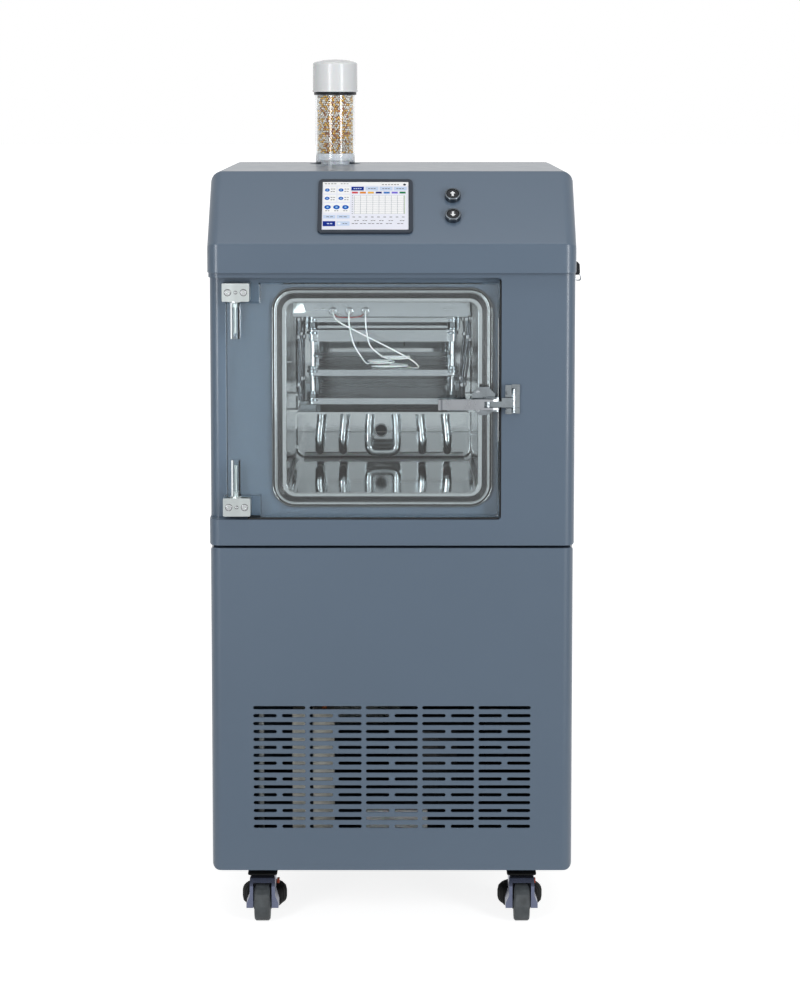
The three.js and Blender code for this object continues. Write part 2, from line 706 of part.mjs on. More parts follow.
// A hanging plate across the chamber's front top, bored for the sensor glands.
function chamberHeader() {
  const y = [HEADER.front, HEADER.front + HEADER.thick];
  const { left, right, bottom, corner } = HEADER;
  const top = CHAMBER_ROOF - SEAT;
  const plate = prismY(roundedRect([left, right], [bottom, top], 1, corner), ...y, 2);
  const flange = box([left + corner, right - corner], [y[0], y[0] + 12], [top - 3, top]);
  const bores = GLAND.xs.map((x) => barY(x, [y[0] - 1, y[1] + 1], GLAND.z, 4 + SEAT + 0.2, 12));
  return cut(join(plate, flange), ...bores);
}

function sensorGland(x) {
  const collar = [
    [GLAND.boreRadius, 0],
    [GLAND.radius, 0],
    [GLAND.radius, GLAND.reach - 2],
    [GLAND.radius - 1.6, GLAND.reach],
    [GLAND.boreRadius, GLAND.reach],
    [GLAND.boreRadius, 0],
  ];
  const face = HEADER.front - SEAT;
  const body = solid(turnedGeometry(collar, 12).rotateX(Math.PI / 2).translate(x, face, GLAND.z));
  const neck = barY(x, [face - 0.5, HEADER.front + HEADER.thick + 4], GLAND.z, 4, 12);
  return join(body, neck);
}

// The platform across the chamber with the four guide rods and their base nuts.
function shelfRack() {
  const x = [SHELF.x - PLATFORM.halfWidth, SHELF.x + PLATFORM.halfWidth];
  const y = [SHELF.front - PLATFORM.margin, SHELF.front + SHELF.depth + PLATFORM.margin];
  const reach = CHAMBER.bore / 2 - SEAT;
  const plate = prismZ(roundedRect(x, y, 8), PLATFORM.bottom, PLATFORM.top, 3);
  const tabs = [y[0] + 30, y[1] - 60].map((at) =>
    box([CHAMBER.x - reach, CHAMBER.x + reach], [at, at + 30], [PLATFORM.bottom, PLATFORM.top]),
  );
  const rods = ROD_XS.flatMap((rx) =>
    ROD_YS.flatMap((ry) => [
      barZ(rx, ry, [PLATFORM.bottom, ROD.top], ROD.radius, 8),
      barZ(rx, ry, [PLATFORM.top - 0.5, SHELVES.bottom.z0 - SEAT], 9, 6),
    ]),
  );
  return join(plate, ...tabs, ...rods);
}

// One shelf or plate with an ear at each corner that runs on the guide rods.
function shelfPlate({ z0, z1 }) {
  const half = SHELF.width / 2;
  const plate = box([SHELF.x - half, SHELF.x + half], [SHELF.front, SHELF.front + SHELF.depth], [z0, z1]);
  const ears = ROD_YS.map((ry) => box([ROD_XS[0], ROD_XS[1]], [ry - 7, ry + 7], [z0, z1]));
  const collars = ROD_XS.flatMap((rx) => ROD_YS.map((ry) => barZ(rx, ry, [z0, z1], 7, 8)));
  const bores = ROD_XS.flatMap((rx) =>
    ROD_YS.map((ry) => barZ(rx, ry, [z0 - 1, z1 + 1], ROD.radius + RUNNING, 8)),
  );
  return cut(join(plate, ...ears, ...collars), ...bores);
}

// Two plates with a narrower core between them, and the ram that drives them down.
function pressPlate() {
  const half = SHELF.width / 2;
  const y = [SHELF.front, SHELF.front + SHELF.depth];
  const core = box([SHELF.x - half + 12, SHELF.x + half - 12], [y[0] + 12, y[1] - 12], [PRESS.pad - 1, PRESS.neck + 1]);
  const pad = box([SHELF.x - half, SHELF.x + half], y, [PRESS.z0, PRESS.pad]);
  const ram = barZ(SHELF.x, RAM_Y, [PRESS.z1 - 1, RAM.top], RAM.radius, 20);
  return join(pad, core, shelfPlate({ z0: PRESS.neck, z1: PRESS.z1 }), ram);
}

function ramCylinder() {
  const foot = CHAMBER_ROOF + CHAMBER.wall + SEAT;
  const bore = RAM.radius + RUNNING;
  const profile = [
    [bore, foot],
    [42, foot],
    [42, foot + 8],
    [30, foot + 8],
    [30, RAM.top + 20],
    [0, RAM.top + 20],
    [0, RAM.top + 2],
    [bore, RAM.top + 2],
    [bore, foot],
  ];
  return turned(profile, SHELF.x, RAM_Y, 16);
}

// A refrigerant tube wound in upright loops at the back of the chamber, with a hairpin in the middle.
function condenserCoil() {
  const { y, z, loopDepth, loopHeight, pitch } = COIL;
  const entry = CHAMBER_BACK - SEAT;
  const inlet = SHELF.x - 132;
  const outlet = SHELF.x + 140;
  const points = [
    [inlet, entry, z + loopHeight],
    [inlet, entry - 12, z + loopHeight],
  ];
  const wind = (start) => {
    const stepsPerTurn = 8;
    for (let i = 0; i <= 2 * stepsPerTurn; i++) {
      const angle = (2 * Math.PI * i) / stepsPerTurn;
      const x = start + (pitch * i) / stepsPerTurn;
      points.push([x, y - loopDepth * Math.sin(angle), z + loopHeight * Math.cos(angle)]);
    }
  };
  wind(SHELF.x - 128);
  const low = z - loopHeight - 2;
  points.push([VAPOUR_PORT.x - 25, y - 24, z + 22], [VAPOUR_PORT.x - 25, y - 30, z - 14]);
  points.push([VAPOUR_PORT.x - 15, y - 34, low + 4], [VAPOUR_PORT.x, y - 36, low], [VAPOUR_PORT.x + 15, y - 34, low + 4]);
  points.push([VAPOUR_PORT.x + 25, y - 30, z - 14], [VAPOUR_PORT.x + 25, y - 24, z + 22]);
  wind(SHELF.x + 50);
  points.push([outlet, entry - 12, z + loopHeight], [outlet, entry, z + loopHeight]);
  return tube(points, COIL.tube, 6, 64);
}

// Sensor leads: out of their glands, down in front of the shelves and coiled loosely on the middle one.
const WIRE_START = HEADER.front - SEAT - 0.5 - SEAT;
const WIRE_LAYER = 2 * WIRE_RADIUS + 0.5;
const WIRE_REST = SHELVES.middle.z1 + SEAT + WIRE_RADIUS;

const WIRE_ROUTES = [
  {
    lead: [[-92, -292, 1018], [-60, -295, 1000], [-5, -295, 972], [34, -290, 950], [44, -272, 938], [38, -250, 933.8]],
    loop: { x: -4, y: -226, a: 30, b: 15, from: 0, turns: 1.25, layer: 0 },
  },
  {
    lead: [[-71, -286, 1018], [-69, -287, 1000], [-62, -287, 975], [-50, -284, 955], [-44, -268, 945], [-40, -252, 941]],
    loop: { x: -18, y: -224, a: 22, b: 18, from: 3.74, turns: 1.25, layer: 2.6 },
  },
  {
    lead: [[-43.5, -286, 1018], [-42, -288, 1000], [-36, -289, 975], [-22, -286, 961], [-10, -270, 952], [-4, -254, 949]],
    loop: { x: 6, y: -228, a: 24, b: 16, from: -1.9, turns: 1.25, layer: 5.2 },
  },
];

// One lead: straight out of its gland, down its drop, then a loop that rises a layer in each turn.
function sensorWire(x, { lead, loop }) {
  const points = [[x, WIRE_START, GLAND.z], [x, WIRE_START - 8, GLAND.z], ...lead];
  const stepsPerTurn = 8;
  for (let i = 0; i <= loop.turns * stepsPerTurn; i++) {
    const angle = loop.from + (2 * Math.PI * i) / stepsPerTurn;
    const z = WIRE_REST + WIRE_LAYER * (loop.layer + i / stepsPerTurn);
    points.push([loop.x + loop.a * Math.cos(angle), loop.y + loop.b * Math.sin(angle), z]);
  }
  return tube(points, WIRE_RADIUS, 8, 42);
}

// ---------------------------------------------------------------------------------------- door

function doorPanel() {
  const { left, right, bottom, top, chamfer, cornerRadius: r } = DOOR;
  const blockTop = bottom + SEAT + 2 + HINGE_BLOCK.height;
  const lowNotch = blockTop + NOTCH.clearance;
  const highNotch = top - HINGE_BLOCK.height - NOTCH.clearance;
  const outline = new THREE.Shape();
  outline.moveTo(NOTCH.right, bottom);
  outline.lineTo(right - r, bottom);
  outline.absarc(right - r, bottom + r, r, -Math.PI / 2, 0, false);
  outline.lineTo(right, top - r);
  outline.absarc(right - r, top - r, r, 0, Math.PI / 2, false);
  outline.lineTo(NOTCH.right, top);
  outline.lineTo(NOTCH.right, highNotch);
  outline.lineTo(left, highNotch);
  outline.lineTo(left, lowNotch);
  outline.lineTo(NOTCH.right, lowNotch);
  const slab = new THREE.ExtrudeGeometry(outline, {
    depth: DOOR.thick - 2 * chamfer,
    bevelThickness: chamfer,
    bevelSize: chamfer,
    bevelOffset: -chamfer,
    bevelSegments: 1,
    curveSegments: 3,
  });
  const bores = [
    [lowNotch - 1, lowNotch + HINGE.boreDepth],
    [highNotch - HINGE.boreDepth, highNotch + 1],
  ];
  return cut(
    solid(slab.rotateX(Math.PI / 2).translate(0, DOOR_BACK - chamfer, 0)),
    ...bores.map((z) => barZ(HINGE.x, HINGE_Y, z, HINGE.boreRadius, 16)),
  );
}

// A block on the recess floor with the pin that turns in the door's bore; its collar fills the mouth.
function hingeBlock(sign) {
  const { left, right, height, proud, edge } = HINGE_BLOCK;
  const inner = sign > 0 ? DOOR.top - height : DOOR.bottom + SEAT + 2 + height;
  const outer = inner + sign * height;
  const z = [Math.min(inner, outer), Math.max(inner, outer)];
  const outline = roundedRect([left, right], z, edge);
  const block = prismY(outline, FRONT - proud, RECESS_FLOOR - SEAT, 1);
  const span = (from, to) => [inner - sign * from, inner - sign * to].sort((a, b) => a - b);
  const pin = barZ(HINGE.x, HINGE_Y, span(-1, HINGE.pinLength), HINGE.pinRadius, 12);
  const collar = barZ(HINGE.x, HINGE_Y, span(NOTCH.clearance - 1, 10), HINGE.boreRadius - RUNNING, 16);
  const washer = barZ(HINGE.x, HINGE_Y, span(-0.5, NOTCH.clearance - SEAT), HINGE.boreRadius + 3, 16);
  return join(block, pin, collar, washer);
}

// --------------------------------------------------------------------------------------- latch

const PIVOT_Y = FRONT - LATCH.pivotOut;
const LEVER_Z = [LATCH.z - LATCH.leverHeight / 2, LATCH.z + LATCH.leverHeight / 2];
const STUB_RADIUS = 2.5;
const LINK_PIN_RADIUS = 2;

// A bevelled plate with two ears whose stub pins carry the lever from above and below.
function latchBase() {
  const { left, right, bottom, top, thick, corner } = LATCH_PLATE;
  const plate = polygon(
    [left + corner, bottom],
    [right - corner, bottom],
    [right, bottom + corner],
    [right, top - corner],
    [right - corner, top],
    [left + corner, top],
    [left, top - corner],
    [left, bottom + corner],
  );
  const back = FRONT - SEAT;
  const ear = new THREE.Shape();
  ear.moveTo(LATCH_PLATE.right - 20, back - 1);
  ear.lineTo(LATCH_PLATE.right - 20, back - thick);
  ear.lineTo(LATCH.pivotX - 8, PIVOT_Y - 4.5);
  ear.absarc(LATCH.pivotX, PIVOT_Y, 4.5, 1.5 * Math.PI, 2.3 * Math.PI, false);
  ear.lineTo(LATCH_PLATE.right, back - 1);
  const earThick = 2.5;
  const low = LEVER_Z[0] - RUNNING;
  const high = LEVER_Z[1] + RUNNING;
  const stub = LATCH.wall + RUNNING;
  return join(
    prismY(plate, back - thick, back),
    prismZ(ear, low - earThick, low, 4),
    prismZ(ear, high, high + earThick, 4),
    barZ(LATCH.pivotX, PIVOT_Y, [low - 1, low + stub], STUB_RADIUS, 12),
    barZ(LATCH.pivotX, PIVOT_Y, [high - stub, high + 1], STUB_RADIUS, 12),
  );
}

// Two side walls joined by a web in front; the web stops short of the pivots to let the link pass.
function latchLever() {
  const front = PIVOT_Y - 7.5;
  const r = LATCH.knuckle;
  const walls = new THREE.Shape();
  walls.moveTo(LATCH.leverEnd, front);
  walls.lineTo(LATCH.pivotX - 6, front);
  walls.lineTo(LATCH.pivotX + r * 0.5, PIVOT_Y - r * 0.866);
  walls.absarc(LATCH.pivotX, PIVOT_Y, r, -Math.PI / 3, Math.PI / 2, false);
  walls.lineTo(LATCH.linkPivotX - 3, PIVOT_Y + r);
  walls.lineTo(LATCH.linkPivotX - 14, front + 5);
  walls.lineTo(LATCH.leverEnd, front + 5);
  const pivots = [
    [LATCH.pivotX, STUB_RADIUS + RUNNING],
    [LATCH.linkPivotX, LINK_PIN_RADIUS + RUNNING],
  ];
  pivots.forEach(([x, radius]) => walls.holes.push(circle(x, PIVOT_Y, radius)));
  const webEnd = LATCH.linkPivotX - 7;
  const tip = polygon(
    [LATCH.leverEnd - 3, front - 4],
    [LATCH.leverEnd + 1, front - 4],
    [LATCH.leverEnd + 5, front + 1],
    [LATCH.leverEnd + 5, front + LATCH.web],
    [LATCH.leverEnd, front + LATCH.web],
    [LATCH.leverEnd - 3, front - 2],
  );
  return join(
    prismZ(walls, LEVER_Z[0], LEVER_Z[0] + LATCH.wall, 4),
    prismZ(walls, LEVER_Z[1] - LATCH.wall, LEVER_Z[1], 4),
    box([LATCH.leverEnd, webEnd], [front, front + LATCH.web], LEVER_Z),
    prismZ(tip, ...LEVER_Z, 2),
  );
}

const HOOK_X = KEEPER.left + 11 + HOOK_BAR.radius + RUNNING;

// The link from the lever's second pivot to the upright bar that lies behind the keeper's two walls.
function latchLink() {
  const half = (LEVER_Z[1] - LEVER_Z[0]) / 2 - LATCH.wall - RUNNING;
  const z = [LATCH.z - half, LATCH.z + half];
  const x = LATCH.linkPivotX;
  const y = PIVOT_Y;
  const neckEnd = LATCH.pivotX + LATCH.knuckle + 3;
  return join(
    barZ(x, y, z, 4, 12),
    barZ(x, y, [LEVER_Z[0], LEVER_Z[1]], LINK_PIN_RADIUS, 12),
    box([x, neckEnd + 1], [y - 1.5, y + 1.5], z),
    box([neckEnd, HOOK_X], [y - 1.5, y + 1.5], [KEEPER.lowTop + 1, LEVER_Z[1] + 2]),
    barZ(HOOK_X, y, [HOOK_BAR.bottom, HOOK_BAR.top], HOOK_BAR.radius, 12),
  );
}

// A plate beside the door with two upright walls and a low rim; the hook bar lies between them.
function latchKeeper() {
  const { left, right, bottom, lowTop, highBottom, top, thick, out } = KEEPER;
  const back = FRONT - SEAT;
  const hook = new THREE.Shape();
  hook.moveTo(left, back);
  hook.lineTo(left, back - out + 3);
  hook.lineTo(left + 3, back - out);
  hook.lineTo(left + 10, back - out);
  hook.lineTo(left + 11, back - thick);
  hook.lineTo(right - 5, back - thick);
  hook.lineTo(right - 5, back - thick - 1.5);
  hook.lineTo(right, back - thick - 1.5);
  hook.lineTo(right, back);
  return join(
    box([left, right], [back - thick, back], [bottom, top]),
    prismZ(hook, bottom, lowTop),
    prismZ(hook, highBottom, top),
  );
}

// -------------------------------------------------------------------------------- machine bay

// A hermetic compressor: a drawn shell on a foot plate.
function compressor() {
  const x = 80;
  const y = 20;
  const profile = [
    [0, PAN_TOP + 12],
    [60, PAN_TOP + 12],
    [84, PAN_TOP + 24],
    [88, PAN_TOP + 60],
    [88, PAN_TOP + 120],
    [84, PAN_TOP + 165],
    [60, PAN_TOP + 196],
    [0, PAN_TOP + 208],
  ];
  const feet = [-1, 1].flatMap((i) =>
    [-1, 1].map((j) => barZ(x + i * 85, y + j * 55, [PAN_TOP, PAN_TOP + 12.5], 11, 8)),
  );
  const plate = prismZ(centredRect(x, y, 200, 140, 14), PAN_TOP + 11, PAN_TOP + 14, 3);
  return join(turned(profile, x, y, 16), plate, ...feet);
}

// A brazed plate exchanger in two upright blocks on one foot.
function heatExchanger() {
  const y = [FRONT + 70, FRONT + 125];
  return join(
    box([-168, -142], y, [PAN_TOP + 20, 350]),
    box([-133, -98], y, [PAN_TOP + 20, 350]),
    box([-172, -94], [y[0] + 5, y[1] - 5], [PAN_TOP, PAN_TOP + 24]),
  );
}

// A finned block with the fan's ring behind it.
function radiator() {
  const x = [FAN.x - 110, FAN.x + 110];
  const y = [FAN.y - 52, FAN.y - 16];
  const z = [FAN.z - 110, FAN.z + 110];
  const block = box(x, y, z);
  const fins = [];
  for (let i = 0; i < 9; i++) {
    const at = x[0] + 11 + i * 22;
    fins.push(box([at, at + 16], [y[0] - 1, y[0] + 30], [z[0] + 6, z[1] - 6]));
  }
  const ring = cut(
    box(x, [y[1] - 1, FAN.y + 22], z),
    barY(FAN.x, [y[1] + 2, FAN.y + 30], FAN.z, FAN.radius + 3, 24),
  );
  const spider = barY(FAN.x, [y[1], FAN.y - 8], FAN.z, 8, 12);
  const legs = [x[0], x[1] - 14].map((at) => box([at, at + 14], [y[0], FAN.y + 22], [PAN_TOP, z[0] + 1]));
  return join(cut(block, ...fins), ring, spider, ...legs);
}

// A hub with five pitched blades, about an axis along Y.
function fanRotor() {
  const hub = barY(0, [-8 + SEAT, 14], 0, FAN.hub, 12);
  const blades = [];
  for (let i = 0; i < 5; i++) {
    const blade = new THREE.BoxGeometry(FAN.radius - FAN.hub + 4, 2.4, 40);
    blade.rotateX(Math.PI / 5).translate((FAN.radius + FAN.hub) / 2 - 2, 3, 0).rotateY((2 * Math.PI * i) / 5);
    blades.push(solid(blade));
  }
  return join(hub, ...blades).intersect(barY(0, [-30, 30], 0, FAN.radius, 24));
}

function vacuumPort() {
  const { tubeRadius, flangeRadius, reach } = VACUUM_PORT;
  const bore = tubeRadius - 2;
  const profile = [
    [bore, -30],
    [tubeRadius, -30],
    [tubeRadius, reach - 6],
    [flangeRadius, reach - 3],
    [flangeRadius, reach],
    [bore, reach],
    [bore, -30],
  ];
  const port = turnedGeometry(profile, 16).rotateX(-Math.PI / 2);
  return solid(port.translate(VACUUM_PORT.x, BACK, VACUUM_PORT.z));
}

function refrigerantPipes() {
  return tube(
    [
      [80, 20, PAN_TOP + 208 + SEAT],
      [80, 20, 350],
      [60, -60, 380],
      [0, -150, 400],
      [-80, -215, 400],
      [-115, -228, 385],
      [-115, -228, 350 + SEAT],
    ],
    4.8,
    6,
    22,
  );
}

// ------------------------------------------------------------------------------------- castors

const FORK_INNER = FORK.half - FORK.arm;

// The swivelling housing: a head, an arch over the wheel and a threaded boss for the leveller.
function castorFork() {
  const wheelY = -CASTOR.trail;
  const headTop = CABINET.bottom - CASTOR.plateThick - SEAT;
  const side = polygon(
    [wheelY - 13, 24],
    [wheelY + 12, 24],
    [wheelY + 30, 44],
    [wheelY + 46, 62],
    [14, 64],
    [18, 78],
    [wheelY + 6, 78],
    [wheelY - 8, 74],
    [wheelY - 16, 62],
  );
  const arch = polygon(
    [-27, 24],
    [-FORK_INNER, 24],
    [-FORK_INNER, 67],
    [FORK_INNER, 67],
    [FORK_INNER, 24],
    [27, 24],
    [27, 32],
    [FORK.half, 46],
    [FORK.half, 74],
    [FORK.half - 4, 79],
    [-FORK.half + 4, 79],
    [-FORK.half, 74],
    [-FORK.half, 46],
    [-27, 32],
  );
  const body = prismX(side, -30, 30).intersect(prismY(arch, wheelY - 20, 25));
  const head = barZ(0, 0, [76, headTop], FORK.headRadius, 16);
  const boss = barZ(0, 0, [LEVELLER.top + 6, 78], 13, 12);
  const axle = barX([-FORK.half, FORK.half], wheelY, WHEEL.radius, WHEEL.boreRadius - RUNNING, 12);
  return cut(
    join(body, head, boss, axle),
    barZ(0, 0, [CABINET.bottom - STUB.length - SEAT, headTop + 1], STUB.radius + RUNNING, 12),
    barZ(0, 0, [LEVELLER.top, LEVELLER.stemTop + 1], LEVELLER.stemRadius + RUNNING, 12),
    barZ(0, 0, [0, LEVELLER.top + 4], LEVELLER.radius + 2, 24),
  );
}

function castorWheel() {
  const { radius, width, boreRadius, hubHalf } = WHEEL;
  const half = width / 2;
  const profile = [
    [boreRadius, -hubHalf],
    [12, -hubHalf],
    [12, -half],
    [radius - 2.5, -half],
    [radius, -half + 2.5],
    [radius, half - 2.5],
    [radius - 2.5, half],
    [12, half],
    [12, hubHalf],
    [boreRadius, hubHalf],
    [boreRadius, -hubHalf],
  ];
  return solid(turnedGeometry(profile, 20).rotateY(Math.PI / 2));
}

// The foot: a pad and a thumbwheel on one threaded stem.
function castorLeveller() {
  const { radius, bottom, padTop, top, padRadius, stemRadius, stemTop } = LEVELLER;
  const profile = [
    [0, bottom],
    [padRadius, bottom],
    [padRadius, padTop - 2],
    [radius, padTop],
    [radius, top - 3],
    [radius - 3, top],
    [stemRadius, top],
    [stemRadius, stemTop],
    [0, stemTop],
  ];
  return turned(profile, 0, 0, 16);
}

// ------------------------------------------------------------------------------------ assembly

place("base_pan", basePan(), MATERIAL.darkSteel);
place("mid_deck", midDeck(), MATERIAL.darkSteel);
place("lower_front_panel", lowerFrontPanel(), MATERIAL.paint);
place("upper_front_panel", upperFrontPanel(), MATERIAL.paint);
place("side_panel_left", sidePanel(-1), MATERIAL.paint);
place("side_panel_right", sidePanel(1), MATERIAL.paint);
place("rear_panel", rearPanel(), MATERIAL.paint);
place("hood", hood(), MATERIAL.paint);
place("hood_catch", hoodCatch(), MATERIAL.blackPlastic);

place("screen_housing", screenHousing(), MATERIAL.bezel, slopeGroup);
place("screen_glass", screenGlass(), MATERIAL.screen, slopeGroup);
buttonSpots().forEach(({ name, v }) => {
  place(name + "_collar", buttonCollar(v), MATERIAL.steel, slopeGroup);
  place(name, buttonCap(v), MATERIAL.blackPlastic, slopeGroup);
});

place("column_socket", columnSocket(), MATERIAL.blackPlastic);
place("column_tube", columnTube(), MATERIAL.acrylic);
place("column_cap", columnCap(), MATERIAL.whitePlastic);
place("desiccant", desiccantFill(), MATERIAL.desiccant);

place("vacuum_chamber", vacuumChamber(), MATERIAL.steel);
place("door_gasket", doorGasket(), MATERIAL.clearRubber);
place("chamber_header", chamberHeader(), MATERIAL.steel);
GLAND.xs.forEach((x, i) => {
  place("sensor_gland_" + (i + 1), sensorGland(x), MATERIAL.steel);
  place("sensor_wire_" + (i + 1), sensorWire(x, WIRE_ROUTES[i]), MATERIAL.wire);
});
place("shelf_rack", shelfRack(), MATERIAL.steel);
place("bottom_shelf", shelfPlate(SHELVES.bottom), MATERIAL.steel);
place("middle_shelf", shelfPlate(SHELVES.middle), MATERIAL.steel);
place("top_shelf", shelfPlate(SHELVES.top), MATERIAL.steel);
place("press_plate", pressPlate(), MATERIAL.steel);
place("ram_cylinder", ramCylinder(), MATERIAL.aluminium);
place("condenser_coil", condenserCoil(), MATERIAL.steel);

place("door_panel", doorPanel(), MATERIAL.acrylic);
place("hinge_block_top", hingeBlock(1), MATERIAL.aluminium);
place("hinge_block_bottom", hingeBlock(-1), MATERIAL.aluminium);
place("latch_base", latchBase(), MATERIAL.steel);
place("latch_lever", latchLever(), MATERIAL.steel);
place("latch_link", latchLink(), MATERIAL.steel);
place("latch_keeper", latchKeeper(), MATERIAL.steel);

place("compressor", compressor(), MATERIAL.blackPlastic);
place("heat_exchanger", heatExchanger(), MATERIAL.tan);
place("radiator", radiator(), MATERIAL.aluminium);
place("refrigerant_pipes", refrigerantPipes(), MATERIAL.copper);
place("vacuum_port", vacuumPort(), MATERIAL.steel);

const fanGroup = new THREE.Group();
fanGroup.position.set(FAN.x, FAN.y, FAN.z);
machine.add(fanGroup);
place("fan_rotor", fanRotor(), MATERIAL.blackPlastic, fanGroup);

castorSpots().forEach(({ name, x, y, turn }) => {
  const swivel = new THREE.Group();
  swivel.position.set(x, y, 0);
  swivel.rotation.z = turn;
  machine.add(swivel);
  const axle = new THREE.Group();
  axle.position.set(0, -CASTOR.trail, WHEEL.radius);
  swivel.add(axle);
  place("castor_fork_" + name, castorFork(), MATERIAL.fork, swivel);
  place("castor_wheel_" + name, castorWheel(), MATERIAL.wheel, axle);
  place("castor_leveller_" + name, castorLeveller(), MATERIAL.rubber, swivel);
});

export default machine;
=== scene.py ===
# The looks of a floor-standing freeze dryer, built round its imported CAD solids.
# Lengths are written in millimetres and turned to metres where a mesh is made.
import math
import random

import bmesh
import bpy
from mathutils import Matrix, Vector


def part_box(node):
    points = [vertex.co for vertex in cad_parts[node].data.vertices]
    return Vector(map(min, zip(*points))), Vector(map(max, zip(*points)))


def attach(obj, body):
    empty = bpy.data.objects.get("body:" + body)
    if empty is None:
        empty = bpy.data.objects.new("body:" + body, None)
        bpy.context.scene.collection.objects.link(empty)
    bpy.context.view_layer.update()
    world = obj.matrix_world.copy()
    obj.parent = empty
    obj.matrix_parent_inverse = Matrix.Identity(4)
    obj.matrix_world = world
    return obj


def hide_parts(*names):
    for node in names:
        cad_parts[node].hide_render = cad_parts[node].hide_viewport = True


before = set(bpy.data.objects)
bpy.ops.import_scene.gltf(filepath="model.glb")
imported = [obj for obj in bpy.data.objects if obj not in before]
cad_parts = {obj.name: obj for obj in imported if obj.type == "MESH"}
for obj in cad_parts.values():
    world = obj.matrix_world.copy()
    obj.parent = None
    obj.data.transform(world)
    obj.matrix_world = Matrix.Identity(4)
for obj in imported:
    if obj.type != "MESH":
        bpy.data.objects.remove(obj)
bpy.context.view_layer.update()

MM = 0.001


def extent(node):
    """The range of a CAD node at rest along x, y and z, in millimetres."""
    low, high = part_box(node)
    return [(a / MM, b / MM) for a, b in zip(low, high)]


def middle(span):
    return (span[0] + span[1]) / 2


def centre_of(node):
    return [middle(span) for span in extent(node)]


def within(span, inset):
    return (span[0] + inset, span[1] - inset)


def placed(name, data):
    """A new object in the scene."""
    made = bpy.data.objects.new(name, data)
    bpy.context.scene.collection.objects.link(made)
    return made


# --- camera

CAMERA_TILT = 5.26
camera_data = bpy.data.cameras.new("camera")
camera_data.lens = 97.09
camera_data.sensor_width = 36
camera_data.shift_x = -0.0015
camera_data.shift_y = -0.165
camera = placed("camera", camera_data)
camera.location = (0.0159, -4.725, 1.400)
camera.rotation_euler = (math.radians(90 - CAMERA_TILT), 0, 0)
bpy.context.scene.camera = camera

# --- outlines


def arc(a, b, radius, start, end, steps=8):
    """Points on an arc about (a, b), by angle in degrees."""
    angles = [math.radians(start + (end - start) * i / steps) for i in range(steps + 1)]
    return [(a + radius * math.cos(t), b + radius * math.sin(t)) for t in angles]


def rounded(a, b, lower, upper=None, steps=8):
    """A rectangle over two ranges, with one radius for its lower corners and one for its upper."""
    upper = lower if upper is None else upper
    return (
        arc(a[1] - lower, b[0] + lower, lower, -90, 0, steps)
        + arc(a[1] - upper, b[1] - upper, upper, 0, 90, steps)
        + arc(a[0] + upper, b[1] - upper, upper, 90, 180, steps)
        + arc(a[0] + lower, b[0] + lower, lower, 180, 270, steps)
    )


def about(centre, half):
    return (centre - half, centre + half)


def above(base, low, high):
    return (base + low, base + high)


def slot_outline(a, b, length, height):
    end = (length - height) / 2
    return arc(a + end, b, height / 2, -90, 90) + arc(a - end, b, height / 2, 90, 270)


def disc(a, b, radius, steps=32):
    return arc(a, b, radius, 0, 360 * (steps - 1) / steps, steps - 1)


def smooth_line(points, steps):
    """A centripetal Catmull-Rom line through the points, with so many steps from point to point."""
    points = [Vector(p) for p in points]
    line = [points[0]]
    padded = [2 * points[0] - points[1]] + points + [2 * points[-1] - points[-2]]
    for i in range(1, len(padded) - 2):
        p = padded[i - 1 : i + 3]
        t = [0.0]
        for k in range(3):
            t.append(t[-1] + max(math.sqrt((p[k + 1] - p[k]).length), 1e-6))
        for step in range(1, steps + 1):
            s = t[1] + (t[2] - t[1]) * step / steps
            near = [p[k].lerp(p[k + 1], (s - t[k]) / (t[k + 1] - t[k])) for k in range(3)]
            wide = [near[k].lerp(near[k + 1], (s - t[k]) / (t[k + 2] - t[k])) for k in range(2)]
            line.append(wide[0].lerp(wide[1], (s - t[1]) / (t[2] - t[1])))
    return line


# --- meshes

TO_SPACE = {
    "X": lambda a, b, h: (h, a, b),
    "Y": lambda a, b, h: (a, h, b),
    "Z": lambda a, b, h: (a, b, h),
}


def mesh_piece(name, points, faces):
    mesh = bpy.data.meshes.new(name)
    mesh.from_pydata([Vector(p) * MM for p in points], [], faces)
    build = bmesh.new()
    build.from_mesh(mesh)
    bmesh.ops.recalc_face_normals(build, faces=build.faces)
    build.to_mesh(mesh)
    build.free()
    return placed(name, mesh)


def loft(name, rings, joined_ends=False):
    """Rings with the same number of points, skinned one to the next, with flat or joined ends."""
    count = len(rings[0])
    points = [p for ring in rings for p in ring]
    pairs = [(i, i + 1) for i in range(len(rings) - 1)]
    if joined_ends:
        pairs.append((len(rings) - 1, 0))
    faces = []
    for low, high in pairs:
        for i in range(count):
            j = (i + 1) % count
            faces.append((low * count + i, low * count + j, high * count + j, high * count + i))
    if not joined_ends:
        faces.append(tuple(range(count)))
        faces.append(tuple(range(len(points) - count, len(points))))
    return mesh_piece(name, points, faces)


def prism(name, outline, axis, span):
    return loft(name, [[TO_SPACE[axis](a, b, h) for a, b in outline] for h in span])


def prisms(name, outlines, axis, span):
    return merged(name, [prism(name, outline, axis, span) for outline in outlines])


def block(name, x, y, z):
    return prism(name, [(x[0], y[0]), (x[1], y[0]), (x[1], y[1]), (x[0], y[1])], "Z", z)


